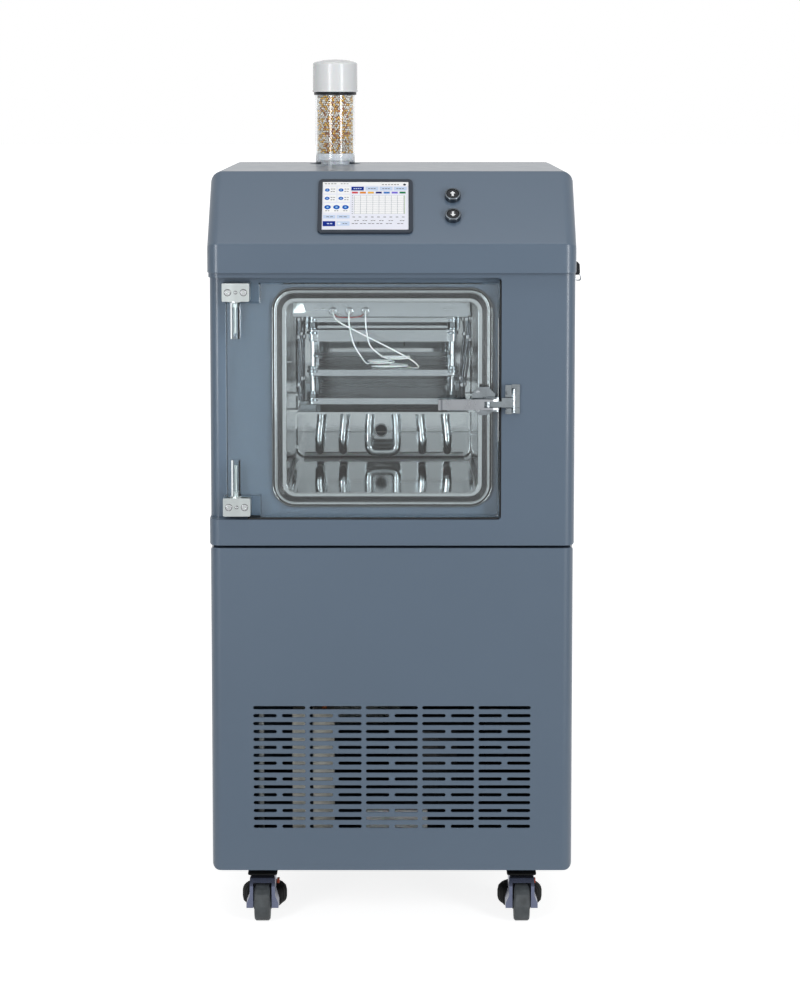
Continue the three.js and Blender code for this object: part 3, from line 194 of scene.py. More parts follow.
def lathe(name, profile, centre, axis="Z", steps=48, closed=False):
    """A turned shape: [radius, height] pairs about an axis through centre."""
    points = []
    rows = []
    for radius, height in profile:
        if radius < 1e-6:
            rows.append([len(points)] * steps)
            points.append(TO_SPACE[axis](0, 0, height))
            continue
        rows.append(list(range(len(points), len(points) + steps)))
        for i in range(steps):
            t = 2 * math.pi * i / steps
            points.append(TO_SPACE[axis](radius * math.cos(t), radius * math.sin(t), height))
    pairs = list(zip(rows, rows[1:]))
    if closed:
        pairs.append((rows[-1], rows[0]))
    faces = []
    for low, high in pairs:
        for i in range(steps):
            j = (i + 1) % steps
            corners = [low[i], low[j], high[j], high[i]]
            face = [c for k, c in enumerate(corners) if c != corners[k - 1]]
            if len(face) > 2:
                faces.append(face)
    offset = Vector(centre)
    return mesh_piece(name, [Vector(p) + offset for p in points], faces)


def tube(name, line, radius, sides=16):
    """A round bar along a line of points, closed by flat ends."""
    curve = bpy.data.curves.new(name, "CURVE")
    curve.dimensions = "3D"
    curve.bevel_depth = radius * MM
    curve.bevel_resolution = sides // 4
    curve.use_fill_caps = True
    spline = curve.splines.new("POLY")
    spline.points.add(len(line) - 1)
    for point, place in zip(spline.points, line):
        point.co = (*(Vector(place) * MM), 1)
    drawn = placed("drawn", curve)
    graph = bpy.context.evaluated_depsgraph_get()
    mesh = bpy.data.meshes.new_from_object(drawn.evaluated_get(graph))
    bpy.data.objects.remove(drawn)
    return placed(name, mesh)


def merged(name, pieces):
    """Several meshes as one piece, each with its own closed shells."""
    build = bmesh.new()
    for piece in pieces:
        build.from_mesh(piece.data)
    mesh = bpy.data.meshes.new(name)
    build.to_mesh(mesh)
    build.free()
    for piece in pieces:
        bpy.data.objects.remove(piece)
    return placed(name, mesh)


def baked(piece):
    """Gives a piece the mesh that its modifiers make."""
    graph = bpy.context.evaluated_depsgraph_get()
    mesh = bpy.data.meshes.new_from_object(piece.evaluated_get(graph), depsgraph=graph)
    piece.modifiers.clear()
    piece.data = mesh
    return piece


def combine(piece, operation, *tools):
    for tool in tools:
        modifier = piece.modifiers.new("combine", "BOOLEAN")
        modifier.operation = operation
        modifier.solver = "MANIFOLD"
        modifier.object = tool
    baked(piece)
    for tool in tools:
        bpy.data.objects.remove(tool)
    return piece


def cut(piece, *tools):
    return combine(piece, "DIFFERENCE", *tools)


def join(piece, *others):
    return combine(piece, "UNION", *others)


def trim(piece, tool):
    return combine(piece, "INTERSECT", tool)


def round_edges(piece, width, segments=2, angle=38):
    modifier = piece.modifiers.new("edges", "BEVEL")
    modifier.width = width * MM
    modifier.segments = segments
    modifier.limit_method = "ANGLE"
    modifier.angle_limit = math.radians(angle)
    modifier.miter_outer = "MITER_ARC"
    return piece


def even_normals(piece):
    modifier = piece.modifiers.new("normals", "WEIGHTED_NORMAL")
    modifier.keep_sharp = True
    return piece


# --- cords

SENSOR_XS = (-97.4, -70.6, -43.7)
WIRE_RADIUS = 1.2
WIRE_START_Y = -272.1
WIRE_EXIT_Z = 1030.3
WIRE_STRAIGHT = 8
WIRE_REST = 932.9
WIRE_LAYER = 2.9
WIRE_ROUTES = (
    {
        "lead": [
            (-92, -292, 1018), (-60, -295, 1000), (-5, -295, 972), (34, -290, 950), (44, -272, 938),
            (38, -250, 933.8),
        ],
        "loop": {"x": -4, "y": -226, "a": 30, "b": 15, "start": 0, "layer": 0},
    },
    {
        "lead": [
            (-71, -286, 1018), (-69, -287, 1000), (-62, -287, 975), (-50, -284, 955), (-44, -268, 945),
            (-40, -252, 941),
        ],
        "loop": {"x": -18, "y": -224, "a": 22, "b": 18, "start": 3.74, "layer": 2.6},
    },
    {
        "lead": [
            (-43.5, -286, 1018), (-42, -288, 1000), (-36, -289, 975), (-22, -286, 961), (-10, -270, 952),
            (-4, -254, 949),
        ],
        "loop": {"x": 6, "y": -228, "a": 24, "b": 16, "start": -1.9, "layer": 5.2},
    },
)
LOOP_STEPS = 8
LOOP_TURNS = 1.25


def sensor_wire_line(x, route):
    loop = route["loop"]
    start = (x, WIRE_START_Y, WIRE_EXIT_Z)
    points = [start, (x, WIRE_START_Y - WIRE_STRAIGHT, WIRE_EXIT_Z), *route["lead"]]
    for i in range(int(LOOP_TURNS * LOOP_STEPS) + 1):
        angle = loop["start"] + 2 * math.pi * i / LOOP_STEPS
        z = WIRE_REST + WIRE_LAYER * (loop["layer"] + i / LOOP_STEPS)
        x = loop["x"] + loop["a"] * math.cos(angle)
        points.append((x, loop["y"] + loop["b"] * math.sin(angle), z))
    return smooth_line(points, 5)


sensor_wires = []
for number, (x, route) in enumerate(zip(SENSOR_XS, WIRE_ROUTES), 1):
    line = sensor_wire_line(x, route)
    wire = tube(f"probe_lead_{number}", line, WIRE_RADIUS)
    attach(wire, "cabinet")
    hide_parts(f"sensor_wire_{number}")
    sensor_wires.append(wire)

# --- materials


def linear(channel):
    c = channel / 255
    return c / 12.92 if c <= 0.04045 else ((c + 0.055) / 1.055) ** 2.4


def rgba(colour, gain=1.0):
    return (*(min(linear(c) * gain, 1.0) for c in colour), 1.0)


class Nodes:
    """A short way to write a node tree."""

    def __init__(self, tree, coordinates="Object"):
        self.tree = tree
        if coordinates:
            self.place = self.add("ShaderNodeTexCoord").outputs[coordinates]

    def add(self, kind, **settings):
        node = self.tree.nodes.new(kind)
        for key, value in settings.items():
            setattr(node, key, value)
        return node

    def link(self, source, target):
        self.tree.links.new(source, target)

    def feed(self, node, **inputs):
        """Sets or links a node's inputs by name, an underscore for each space."""
        for key, value in inputs.items():
            socket = node.inputs[key.replace("_", " ")]
            if isinstance(value, bpy.types.NodeSocket):
                self.link(value, socket)
            else:
                socket.default_value = value
        return node

    def noise(self, scale, detail=2.0, stretch=(1, 1, 1)):
        mapping = self.feed(self.add("ShaderNodeMapping"), Scale=stretch, Vector=self.place)
        noise = self.add("ShaderNodeTexNoise")
        self.feed(noise, Scale=scale, Detail=detail, Vector=mapping.outputs["Vector"])
        return noise.outputs["Fac"]

    def spread(self, value, low, high, source=(0.3, 0.7)):
        """A value mapped from one range to another, held at its ends."""
        node = self.feed(self.add("ShaderNodeMapRange"), From_Min=source[0], From_Max=source[1])
        return self.feed(node, To_Min=low, To_Max=high, Value=value).outputs["Result"]

    def blend(self, value, first, second):
        node = self.feed(self.add("ShaderNodeMix", data_type="RGBA"), Factor=value)
        node.inputs[6].default_value = first
        node.inputs[7].default_value = second
        return node.outputs[2]

    def bump(self, value, strength, distance):
        node = self.feed(self.add("ShaderNodeBump"), Strength=strength, Distance=distance * MM)
        return self.feed(node, Height=value).outputs["Normal"]

    def calculate(self, operation, first, second):
        node = self.add("ShaderNodeMath", operation=operation)
        self.link(first, node.inputs[0])
        self.link(second, node.inputs[1])
        return node.outputs[0]

    def depth(self):
        """How far back a point or a direction lies."""
        parts = self.add("ShaderNodeSeparateXYZ")
        self.link(self.place, parts.inputs[0])
        return parts.outputs["Y"]


class Finish(Nodes):
    """A material's node tree."""

    def __init__(self, name):
        self.material = bpy.data.materials.new(name)
        self.material.use_nodes = True
        super().__init__(self.material.node_tree)
        self.shader = self.tree.nodes["Principled BSDF"]
        self.out = self.tree.nodes["Material Output"]


def surface(
    name, colour, roughness, metallic=0.0, slot=None, tint=0.05, tint_scale=9, rough_spread=0.12,
    rough_scale=40, bump=0.0, bump_size=0.3, bump_scale=600, stretch=(1, 1, 1), coat=0.0,
    specular=0.5, subsurface=0.0,
):
    """A procedural finish: a base colour that drifts a little, uneven gloss and a fine relief."""
    n = Finish(name)
    drift = n.spread(n.noise(tint_scale, 3.0), 0, 1)
    gloss = (roughness * (1 - rough_spread), roughness * (1 + rough_spread))
    n.feed(
        n.shader,
        Base_Color=n.blend(drift, rgba(colour, 1 - tint), rgba(colour, 1 + tint)),
        Roughness=n.spread(n.noise(rough_scale, 4.0, stretch), *gloss),
        Metallic=metallic,
        Specular_IOR_Level=specular,
        Coat_Weight=coat,
        Coat_Roughness=0.12,
        Subsurface_Weight=subsurface,
        Subsurface_Scale=0.003,
    )
    if bump:
        n.feed(n.shader, Normal=n.bump(n.noise(bump_scale, 3.0, stretch), bump, bump_size))
    return n.material


def clear_plastic(name, tint):
    """Acrylic that lets lamp light through, so what lies behind it is lit."""
    n = Finish(name)
    n.feed(n.shader, Base_Color=rgba(tint), Transmission_Weight=1.0, IOR=1.49)
    scuffs = n.noise(140, 5.0, (1, 1, 0.2))
    n.feed(n.shader, Roughness=n.spread(scuffs, 0.005, 0.015))
    see_through = n.feed(n.add("ShaderNodeBsdfTransparent"), Color=rgba(tint, 0.96))
    mix = n.feed(n.add("ShaderNodeMixShader"), Fac=n.add("ShaderNodeLightPath").outputs["Is Shadow Ray"])
    n.link(n.shader.outputs["BSDF"], mix.inputs[1])
    n.link(see_through.outputs["BSDF"], mix.inputs[2])
    n.feed(n.out, Surface=mix.outputs["Shader"])
    return n.material


PAINT = surface(
    "blue_grey_paint", (88, 105, 123), 0.36, slot="body_paint", tint=0.025, tint_scale=3,
    rough_spread=0.08, bump=0.12, bump_size=0.12, bump_scale=420, coat=0.3,
)
DARK_STEEL = surface("dark_steel", (52, 57, 63), 0.5, 0.6, tint=0.12, bump=0.1)
STAINLESS = surface(
    "ground_stainless", (196, 201, 205), 0.24, 1.0, "stainless", tint=0.03, rough_spread=0.25,
    bump=0.08, bump_size=0.05, bump_scale=300, stretch=(0.05, 1, 1),
)
SATIN = surface(
    "satin_steel", (168, 172, 177), 0.3, 1.0, "stainless", tint=0.05, rough_spread=0.3,
    bump=0.12, bump_size=0.1, bump_scale=120,
)
POLISHED = surface(
    "polished_steel", (212, 216, 218), 0.08, 1.0, tint=0.02, rough_spread=0.4, rough_scale=25,
    bump=0.22, bump_size=0.25, bump_scale=22,
)
CHROME = surface("chrome", (215, 218, 221), 0.08, 1.0, "polished_steel", tint=0.02, rough_spread=0.4)
PLATED = surface("bright_plating", (206, 209, 212), 0.14, 0.92, "polished_steel", 0.06, rough_spread=0.5)
LATCH_STEEL = surface(
    "latch_steel", (150, 158, 163), 0.2, 1.0, "polished_steel", tint=0.14, tint_scale=70,
    rough_spread=0.5, bump=0.5, bump_size=0.35, bump_scale=140,
)
DARK_CHROME = surface(
    "dark_chrome", (98, 104, 110), 0.14, 1.0, "polished_steel", tint=0.15, tint_scale=60,
    rough_spread=0.5, bump=0.3, bump_size=0.25, bump_scale=160,
)
ALUMINIUM = surface(
    "brushed_aluminium", (194, 201, 201), 0.34, 1.0, "aluminium", tint=0.04, rough_spread=0.3,
    bump=0.1, bump_size=0.05, bump_scale=500, stretch=(1, 1, 0.05),
)
COPPER = surface("copper", (184, 115, 74), 0.35, 1.0, tint=0.15, tint_scale=25, rough_spread=0.4)
ZINC = surface("castor_zinc", (106, 112, 134), 0.26, 0.85, tint=0.08, bump=0.25, bump_scale=140)
BLACK_ENAMEL = surface("black_enamel", (38, 41, 46), 0.35, tint=0.1, bump=0.1)
TAN_ENAMEL = surface("tan_enamel", (232, 231, 222), 0.5, tint=0.08, bump=0.2, bump_scale=200)
ACRYLIC = clear_plastic("door_acrylic", (236, 241, 242))
TUBE_CLEAR = clear_plastic("column_acrylic", (237, 240, 243))
SCREEN_FINISH = {"slot": "screen_glass", "roughness": 0.16, "tint": 0.01, "specular": 0.12}
DISPLAY = surface("display_white", (240, 242, 252), rough_spread=0.1, **SCREEN_FINISH)
DARK_MOULDING = {"bump": 0.15, "bump_scale": 900, "specular": 0.3}
BEZEL = surface("bezel_plastic", (46, 54, 65), 0.42, **DARK_MOULDING)
BLACK_PLASTIC = surface("black_plastic", (24, 27, 32), 0.4, tint=0.1, **DARK_MOULDING)
RED_PLASTIC = surface("red_plastic", (196, 78, 46), 0.4, slot="black_plastic")
WHITE_PLASTIC = surface(
    "white_plastic", (242, 244, 245), 0.22, tint=0.02, bump=0.05, bump_scale=500, subsurface=0.05,
)
WHITE_PRINT = surface("white_print", (235, 238, 240), 0.5, slot="white_plastic", tint=0.02)
GRAIN_FINISH = {"slot": "desiccant", "roughness": 0.35, "tint_scale": 230, "bump": 0.2}
ORANGE_BEAD = surface("orange_beads", (238, 184, 70), tint=0.2, **GRAIN_FINISH)
BROWN_BEAD = surface("brown_beads", (176, 112, 62), tint=0.2, **GRAIN_FINISH)
WHITE_BEAD = surface("white_beads", (240, 236, 224), tint=0.1, **GRAIN_FINISH)
WIRE_WHITE = surface("white_wire", (246, 247, 248), 0.35, tint=0.03, subsurface=0.1)
WIRE_RED = surface("red_wire", (150, 44, 40), 0.35, slot="white_wire", tint=0.08)
SILICONE = surface("gasket_silicone", (20, 22, 26), 0.2, tint=0.08, rough_spread=0.2, bump=0.1, coat=0.8)
NYLON = surface("wheel_nylon", (72, 77, 80), 0.6, tint=0.32, tint_scale=70, bump=0.4)
RUBBER = surface("black_rubber", (13, 14, 15), 0.7, tint=0.12, bump=0.3, bump_scale=500, specular=0.2)
# Painted shade: a black that darkens the gaps round the door in its recess, the flange's groove and rim, and
# the hinge screws' rims and sockets.
PAINTED_SHADE = surface("painted_shade_black", (24, 26, 28), 0.7, slot="black_rubber", tint=0.1, bump=0.2)
SHARP_ANGLE = math.radians(34)
FLAT_ANGLE = math.radians(0.5)


def smooth_by_angle():
    """A modifier's node group that shades a CAD solid smooth, apart from its sharp edges."""
    group = bpy.data.node_groups.new("smooth_by_angle", "GeometryNodeTree")
    for way in ("INPUT", "OUTPUT"):
        group.interface.new_socket("Geometry", in_out=way, socket_type="NodeSocketGeometry")
    n = Nodes(group, None)
    angle = n.add("GeometryNodeInputMeshEdgeAngle").outputs["Unsigned Angle"]
    steep = n.add("FunctionNodeCompare", data_type="FLOAT", operation="GREATER_THAN")
    steep.inputs[1].default_value = SHARP_ANGLE
    n.link(angle, steep.inputs[0])
    faces = n.add("GeometryNodeSetShadeSmooth", domain="FACE")
    n.feed(faces, Geometry=n.add("NodeGroupInput").outputs[0])
    edges = n.add("GeometryNodeSetShadeSmooth", domain="EDGE")
    n.feed(edges, Geometry=faces.outputs[0], Selection=steep.outputs["Result"], Shade_Smooth=False)
    n.link(edges.outputs[0], n.add("NodeGroupOutput").inputs[0])
    return group


SMOOTH = smooth_by_angle()


def shade_smooth(piece):
    for face in piece.data.polygons:
        face.use_smooth = True


def finish_with(piece, material):
    piece.data.materials.clear()
    piece.data.materials.append(material)


def dress(piece, material, body="cabinet", stands_for=(), bevel=0.0, segments=2, angle=38):
    """The last step of every piece made here: its shading, finish, body and the solid it shows."""
    if piece.type == "MESH":
        shade_smooth(piece)
        if bevel:
            round_edges(piece, bevel, segments, angle)
        even_normals(piece)
    finish_with(piece, material)
    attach(piece, body)
    nodes = [stands_for] if isinstance(stands_for, str) else stands_for
    if nodes:
        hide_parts(*nodes)
    return piece


def keep(node, material, bevel=0.0):
    """A CAD solid whose shape is right: it gets its finish, softened edges and even shading."""
    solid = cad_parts[node]
    finish_with(solid, material)
    flat = solid.modifiers.new("flat", "DECIMATE")
    flat.decimate_type = "DISSOLVE"
    flat.angle_limit = FLAT_ANGLE
    if bevel:
        round_edges(solid, bevel)
    shade = solid.modifiers.new("shade", "NODES")
    shade.node_group = SMOOTH
    even_normals(solid)


for wire in sensor_wires:
    finish_with(wire, WIRE_WHITE)
    shade_smooth(wire)

# --- panels

SHEET = 3
CORNER = 18
ROLL = 2.4
FRONT, RETURN_END = extent("lower_front_panel")[1]


def front_form(name, half, z, inset, back, lower, upper):
    """A front panel's outer form, or what it holds inside when inset by the sheet."""
    left = arc(-half + CORNER, FRONT + CORNER, CORNER - inset, 180, 270, 10)
    right = arc(half - CORNER, FRONT + CORNER, CORNER - inset, 270, 360, 10)
    plan = [(-half + inset, back), *left, *right, (half - inset, back)]
    z = within(z, inset)
    mask = rounded((-half + inset, half - inset), z, max(lower - inset, 0.5), max(upper - inset, 0.5))
    return trim(prism(name, plan, "Z", z), prism("mask", mask, "Y", (FRONT - 1, back + 1)))


GRILLE_ROWS = 16
GRILLE_PITCH = 13.4
GRILLE_FIRST = 74.7
GRILLE_COLUMNS = 5
SLOT_LENGTH = 86.6
SLOT_HEIGHT = 5.8
SLOT_LAND = 6.9
SLOT_BRIDGE = 8.6


def grille_outlines(bottom):
    """Rows of slots; in every second row each slot is bridged in the middle."""
    outlines = []
    short = (SLOT_LENGTH - SLOT_BRIDGE) / 2
    for row in range(GRILLE_ROWS):
        z = bottom + GRILLE_FIRST + row * GRILLE_PITCH
        for column in range(GRILLE_COLUMNS):
            x = (column - (GRILLE_COLUMNS - 1) / 2) * (SLOT_LENGTH + SLOT_LAND)
            if row % 2:
                outlines.append(slot_outline(x, z, SLOT_LENGTH, SLOT_HEIGHT))
            else:
                side = (short + SLOT_BRIDGE) / 2
                outlines.append(slot_outline(x - side, z, short, SLOT_HEIGHT))
                outlines.append(slot_outline(x + side, z, short, SLOT_HEIGHT))
    return outlines


def front_panel(name, node, corners):
    """A front panel's outside, with its rolled edges, and the form that hollows it."""
    x, _, z = extent(node)
    panel = front_form(name, x[1], z, 0, RETURN_END, *corners)
    baked(round_edges(panel, ROLL, 3, 50))
    return panel, front_form("inside", x[1], z, SHEET, RETURN_END + 5, *corners)


def lower_panel():
    panel, inside = front_panel("lower_panel", "lower_front_panel", (12, 5))
    cut(panel, inside)
    bottom = extent("lower_front_panel")[2][0]
    cut(panel, prisms("slots", grille_outlines(bottom), "Y", (FRONT - 1, FRONT + SHEET + 1)))
    dress(panel, PAINT, stands_for="lower_front_panel", bevel=0.45, angle=60)


RECESS_RIGHT = 180
RECESS_BOTTOM = 689
RECESS_TOP = 1089
RECESS_DEPTH = 36
RECESS_RADIUS = 6
RECESS_END_RADIUS = 16
RECESS_FLOOR = FRONT + RECESS_DEPTH


def recess_form(name, edge, grow):
    """The recess that the door lies in, open at its left end."""
    z = (RECESS_BOTTOM - grow, RECESS_TOP + grow)
    pocket = rounded((edge - 80, RECESS_RIGHT + grow), z, RECESS_RADIUS + grow)
    round_end = RECESS_END_RADIUS - grow
    floor = RECESS_FLOOR + grow
    plan = (
        [(RECESS_RIGHT + grow, FRONT - 20), (RECESS_RIGHT + grow, floor)]
        + arc(edge + RECESS_END_RADIUS, floor + round_end, round_end, -90, -180, 8)
        + [(edge - 50, floor + round_end), (edge - 50, FRONT - 20)]
    )
    mask = prism("mask", pocket, "Y", (FRONT - 30, RETURN_END))
    return trim(prism(name, plan, "Z", z), mask)


CHAMBER_X, CHAMBER_Y, CHAMBER_Z = extent("vacuum_chamber")
FLANGE_HALF = (CHAMBER_X[1] - CHAMBER_X[0]) / 2
CENTRE_X = middle(CHAMBER_X)
CENTRE_Z = CHAMBER_Z[1] - FLANGE_HALF
BORE_HALF = 157.5
CHAMBER_WALL = 4


def upper_panel():
    panel, inside = front_panel("upper_panel", "upper_front_panel", (5, 0.5))
    edge = extent("upper_front_panel")[0][0]
    cut(inside, recess_form("recess_sheet", edge, SHEET))
    cut(panel, inside)
    cut(panel, recess_form("recess", edge, 0))
    hole = BORE_HALF + CHAMBER_WALL + 1
    opening = rounded(about(CENTRE_X, hole), about(CENTRE_Z, hole), 21)
    cut(panel, prism("opening", opening, "Y", (RECESS_FLOOR - 1, RECESS_FLOOR + SHEET + 1)))
    dress(panel, PAINT, stands_for="upper_front_panel", bevel=1.3, segments=3, angle=60)
    # Black strips along the recess's right wall and sill paint the shade in the gaps round the door.
    deep = (FRONT + 2, RECESS_FLOOR - 1)
    side = block("side", above(RECESS_RIGHT, -2.1, -0.2), deep, (RECESS_BOTTOM + 3, RECESS_TOP - 6))
    sill = block("sill", (-238, RECESS_RIGHT - 4), deep, above(RECESS_BOTTOM, 0.2, 2.2))
    dress(merged("recess_shade_strips", [side, sill]), PAINTED_SHADE, bevel=0.2)


def side_panels():
    for side in ("left", "right"):
        x, y, z = extent(f"side_panel_{side}")
        panel = prism(f"side_panel_{side}_skin", rounded(y, z, 8, 1), "X", x)
        dress(panel, PAINT, stands_for=f"side_panel_{side}", bevel=1.6, segments=3)


VENT_HEIGHT = 7
VENT_PITCH = 19
FAN_RADIUS = 88
FAN_VENTS_Z = 330
UPPER_VENTS_X = 120
UPPER_VENTS_Z = 760
UPPER_VENT_LENGTH = 110
PORT_HOLE_RADIUS = 14.5


def rear_panel():
    x, y, z = extent("rear_panel")
    fan_x = centre_of("fan_rotor")[0]
    port_x, _, port_z = centre_of("vacuum_port")
    panel = prism("rear_panel_skin", rounded(x, z, 4, 1), "Y", y)
    outlines = []
    for row in range(-4, 5):
        half = math.sqrt(FAN_RADIUS ** 2 - (row * VENT_PITCH) ** 2)
        for side in (-1, 1):
            place = fan_x + side * (half / 2 + 2)
            outlines.append(slot_outline(place, FAN_VENTS_Z + row * VENT_PITCH, half - 4, VENT_HEIGHT))
    for row in range(5):
        level = UPPER_VENTS_Z + row * VENT_PITCH
        for place in (-UPPER_VENTS_X, UPPER_VENTS_X):
            outlines.append(slot_outline(place, level, UPPER_VENT_LENGTH, VENT_HEIGHT))
    outlines.append(disc(port_x, port_z, PORT_HOLE_RADIUS))
    cut(panel, prisms("vents", outlines, "Y", (y[0] - 1, y[1] + 1)))
    dress(panel, PAINT, stands_for="rear_panel", bevel=0.5)
    heads = []
    for screw_x in (x[0] + 12, 0, x[1] - 12):
        for screw_z in (z[0] + 14, middle(z), z[1] - 14):
            heads.append(screw_head((screw_x, y[1], screw_z), 1))
    dress(merged("rear_screws", heads), CHROME, bevel=0.2)


def screw_head(centre, direction, radius=4.2, height=2.0, socket=2.4):
    """A low domed head with a hexagon socket, standing on a face."""
    dome = [
        (0, 0), (radius, 0), (radius, 0.35 * height), (0.82 * radius, 0.8 * height), (0.6 * radius, height),
        (socket * 0.62, height), (socket * 0.56, 0.35 * height), (0, 0.3 * height),
    ]
    return lathe("screw", [(r, h * direction) for r, h in dome], centre, "Y", 20)


lower_panel()
upper_panel()
side_panels()
rear_panel()
keep("base_pan", DARK_STEEL, 0.8)
keep("mid_deck", DARK_STEEL, 0.6)

# --- hood

HOOD_X, HOOD_Y, HOOD_Z = extent("hood")
HOOD_HALF = HOOD_X[1]
HOOD_FRONT, HOOD_BACK = HOOD_Y
HOOD_BOTTOM, HOOD_TOP = HOOD_Z
CREASE = 1145
FOLD = 6
HOOD_EDGE = 20
SLOPE_TILT = math.radians(45)
SLOPE_RUN = (HOOD_TOP - CREASE) * math.tan(SLOPE_TILT)
SLOPE_CENTRE = Vector((0, HOOD_FRONT + SLOPE_RUN / 2, (CREASE + HOOD_TOP) / 2)) * MM
SLOPE = Matrix.Translation(SLOPE_CENTRE) @ Matrix.Rotation(math.pi / 2 - SLOPE_TILT, 4, "X")


def hood_section(inset):
    """The side view of the hood, inset all round, with its two folds rounded."""
    below = HOOD_BOTTOM - 60
    behind = HOOD_BACK + 60
    front = HOOD_FRONT + inset
    top = HOOD_TOP - inset
    crease = CREASE - inset * math.tan(SLOPE_TILT / 2)
    edge = HOOD_FRONT + SLOPE_RUN + inset * math.tan((math.pi / 2 - SLOPE_TILT) / 2)
    reach = FOLD * math.tan(math.radians(22.5))
    lower = arc(front + FOLD, crease - reach, FOLD, 180, 135, 5)
    upper = arc(edge + reach, top - FOLD, FOLD, 135, 90, 5)
    return [(behind, below), (front, below), *lower, *upper, (behind, top)]


def hood_form(name, inset):
    half = HOOD_HALF - inset
    radius = HOOD_EDGE - inset
    steps = 9
    sides = []
    for i in range(steps + 1):
        t = math.radians(90 * i / steps)
        sides.append((half - radius * (1 - math.cos(t)), inset + radius * (1 - math.sin(t))))
    stations = [(-x, d) for x, d in sides] + sides[::-1]
    return loft(name, [[(x, a, b) for a, b in hood_section(d)] for x, d in stations])


def on_slope(piece):
    """Carries a piece drawn flat about the origin onto the hood's sloped face."""
    piece.data.transform(SLOPE)
    return piece


SCREEN_X = -43.6
SCREEN_SIZE = (142, 106.6)
BEZEL_SIZE = (156, 120)
BUTTON_X = 100.4
BUTTON_BORE = 10
COLUMN_HOLE = 46.5
BUTTON_VS = {"up_button": 22.5, "down_button": -22.5}


def screen_outline(half_width, half_height, radius):
    return rounded(about(SCREEN_X, half_width), about(0, half_height), radius)


def hood_shell():
    wide = about(0, HOOD_HALF + 1)
    ahead = HOOD_FRONT - 20
    top = HOOD_TOP + 1
    hood = trim(hood_form("hood_shell", 0), block("limit", wide, (ahead, HOOD_BACK), (HOOD_BOTTOM, top)))
    baked(round_edges(hood, 1.2, 2, 55))
    limit = block("limit", wide, (ahead, HOOD_BACK - SHEET), (HOOD_BOTTOM - 1, top))
    inside = trim(hood_form("inside", SHEET), limit)
    cut(inside, block("sill", wide, (ahead, FRONT + SHEET), (HOOD_BOTTOM - 2, HOOD_BOTTOM + SHEET)))
    cut(hood, inside)
    through = (-10, 10)
    cut(hood, on_slope(prism("window", screen_outline(74, 56, 2), "Z", through)))
    for v in BUTTON_VS.values():
        cut(hood, on_slope(prism("bore", disc(BUTTON_X, v, BUTTON_BORE), "Z", through)))
    column_x, column_y, _ = centre_of("column_tube")
    hole = disc(column_x, column_y, COLUMN_HOLE, 64)
    cut(hood, prism("column_hole", hole, "Z", above(HOOD_TOP, *through)))
    dress(hood, PAINT, stands_for="hood", bevel=0.5, angle=60)


def catch():
    """The draw catch at the hood's right: a black lever and the wire bail that it pulls on."""
    x, y, z = extent("hood_catch")
    mid = middle(y)
    wall = x[0]
    low, high = z
    lever = [
        (wall, low + 10.5), (wall + 6, low + 10.5), (wall + 8, low + 13), (wall + 7.4, high - 5),
        (wall + 4.5, high - 1.5), (wall, high),
    ]
    dress(prism("catch_lever", lever, "Y", y), BLACK_PLASTIC, stands_for="hood_catch", bevel=1.0, segments=3)
    bail = ((7, 12), (9.2, 8), (9.8, 4), (7.5, 1.2), (4, 1.0), (1.2, 3.0), (1.0, 9.0))
    wires = []
    ends = []
    for at in about(mid, 5.2):
        loop = [(wall + out, at, low + up) for out, up in bail]
        wires.append(tube("bail", smooth_line(loop, 5), 0.9, 12))
        ends.append(loop[-1])
    wires.append(tube("bail_bar", ends, 0.9, 12))
    dress(merged("catch_bail", wires), CHROME)


hood_shell()
catch()

# --- screen, buttons

SCREEN_PALETTE = {
    "header": (252, 253, 255),
    "ink": (58, 62, 74),
    "icon": (0, 92, 190),
    "icon_pale": (150, 200, 240),
    "navy": (0, 40, 142),
    "pale": (206, 222, 246),
    "grid": (124, 132, 146),
    "chart": (252, 253, 255),
    "axis": (120, 160, 96),
    "chip_red": (214, 74, 84),
    "chip_orange": (232, 140, 40),
    "chip_yellow": (240, 186, 70),
    "chip_navy": (6, 20, 116),
    "chip_blue": (60, 122, 200),
    "chip_violet": (124, 110, 220),
    "chip_green": (10, 122, 74),
}
SCREEN_TOP = 3.3


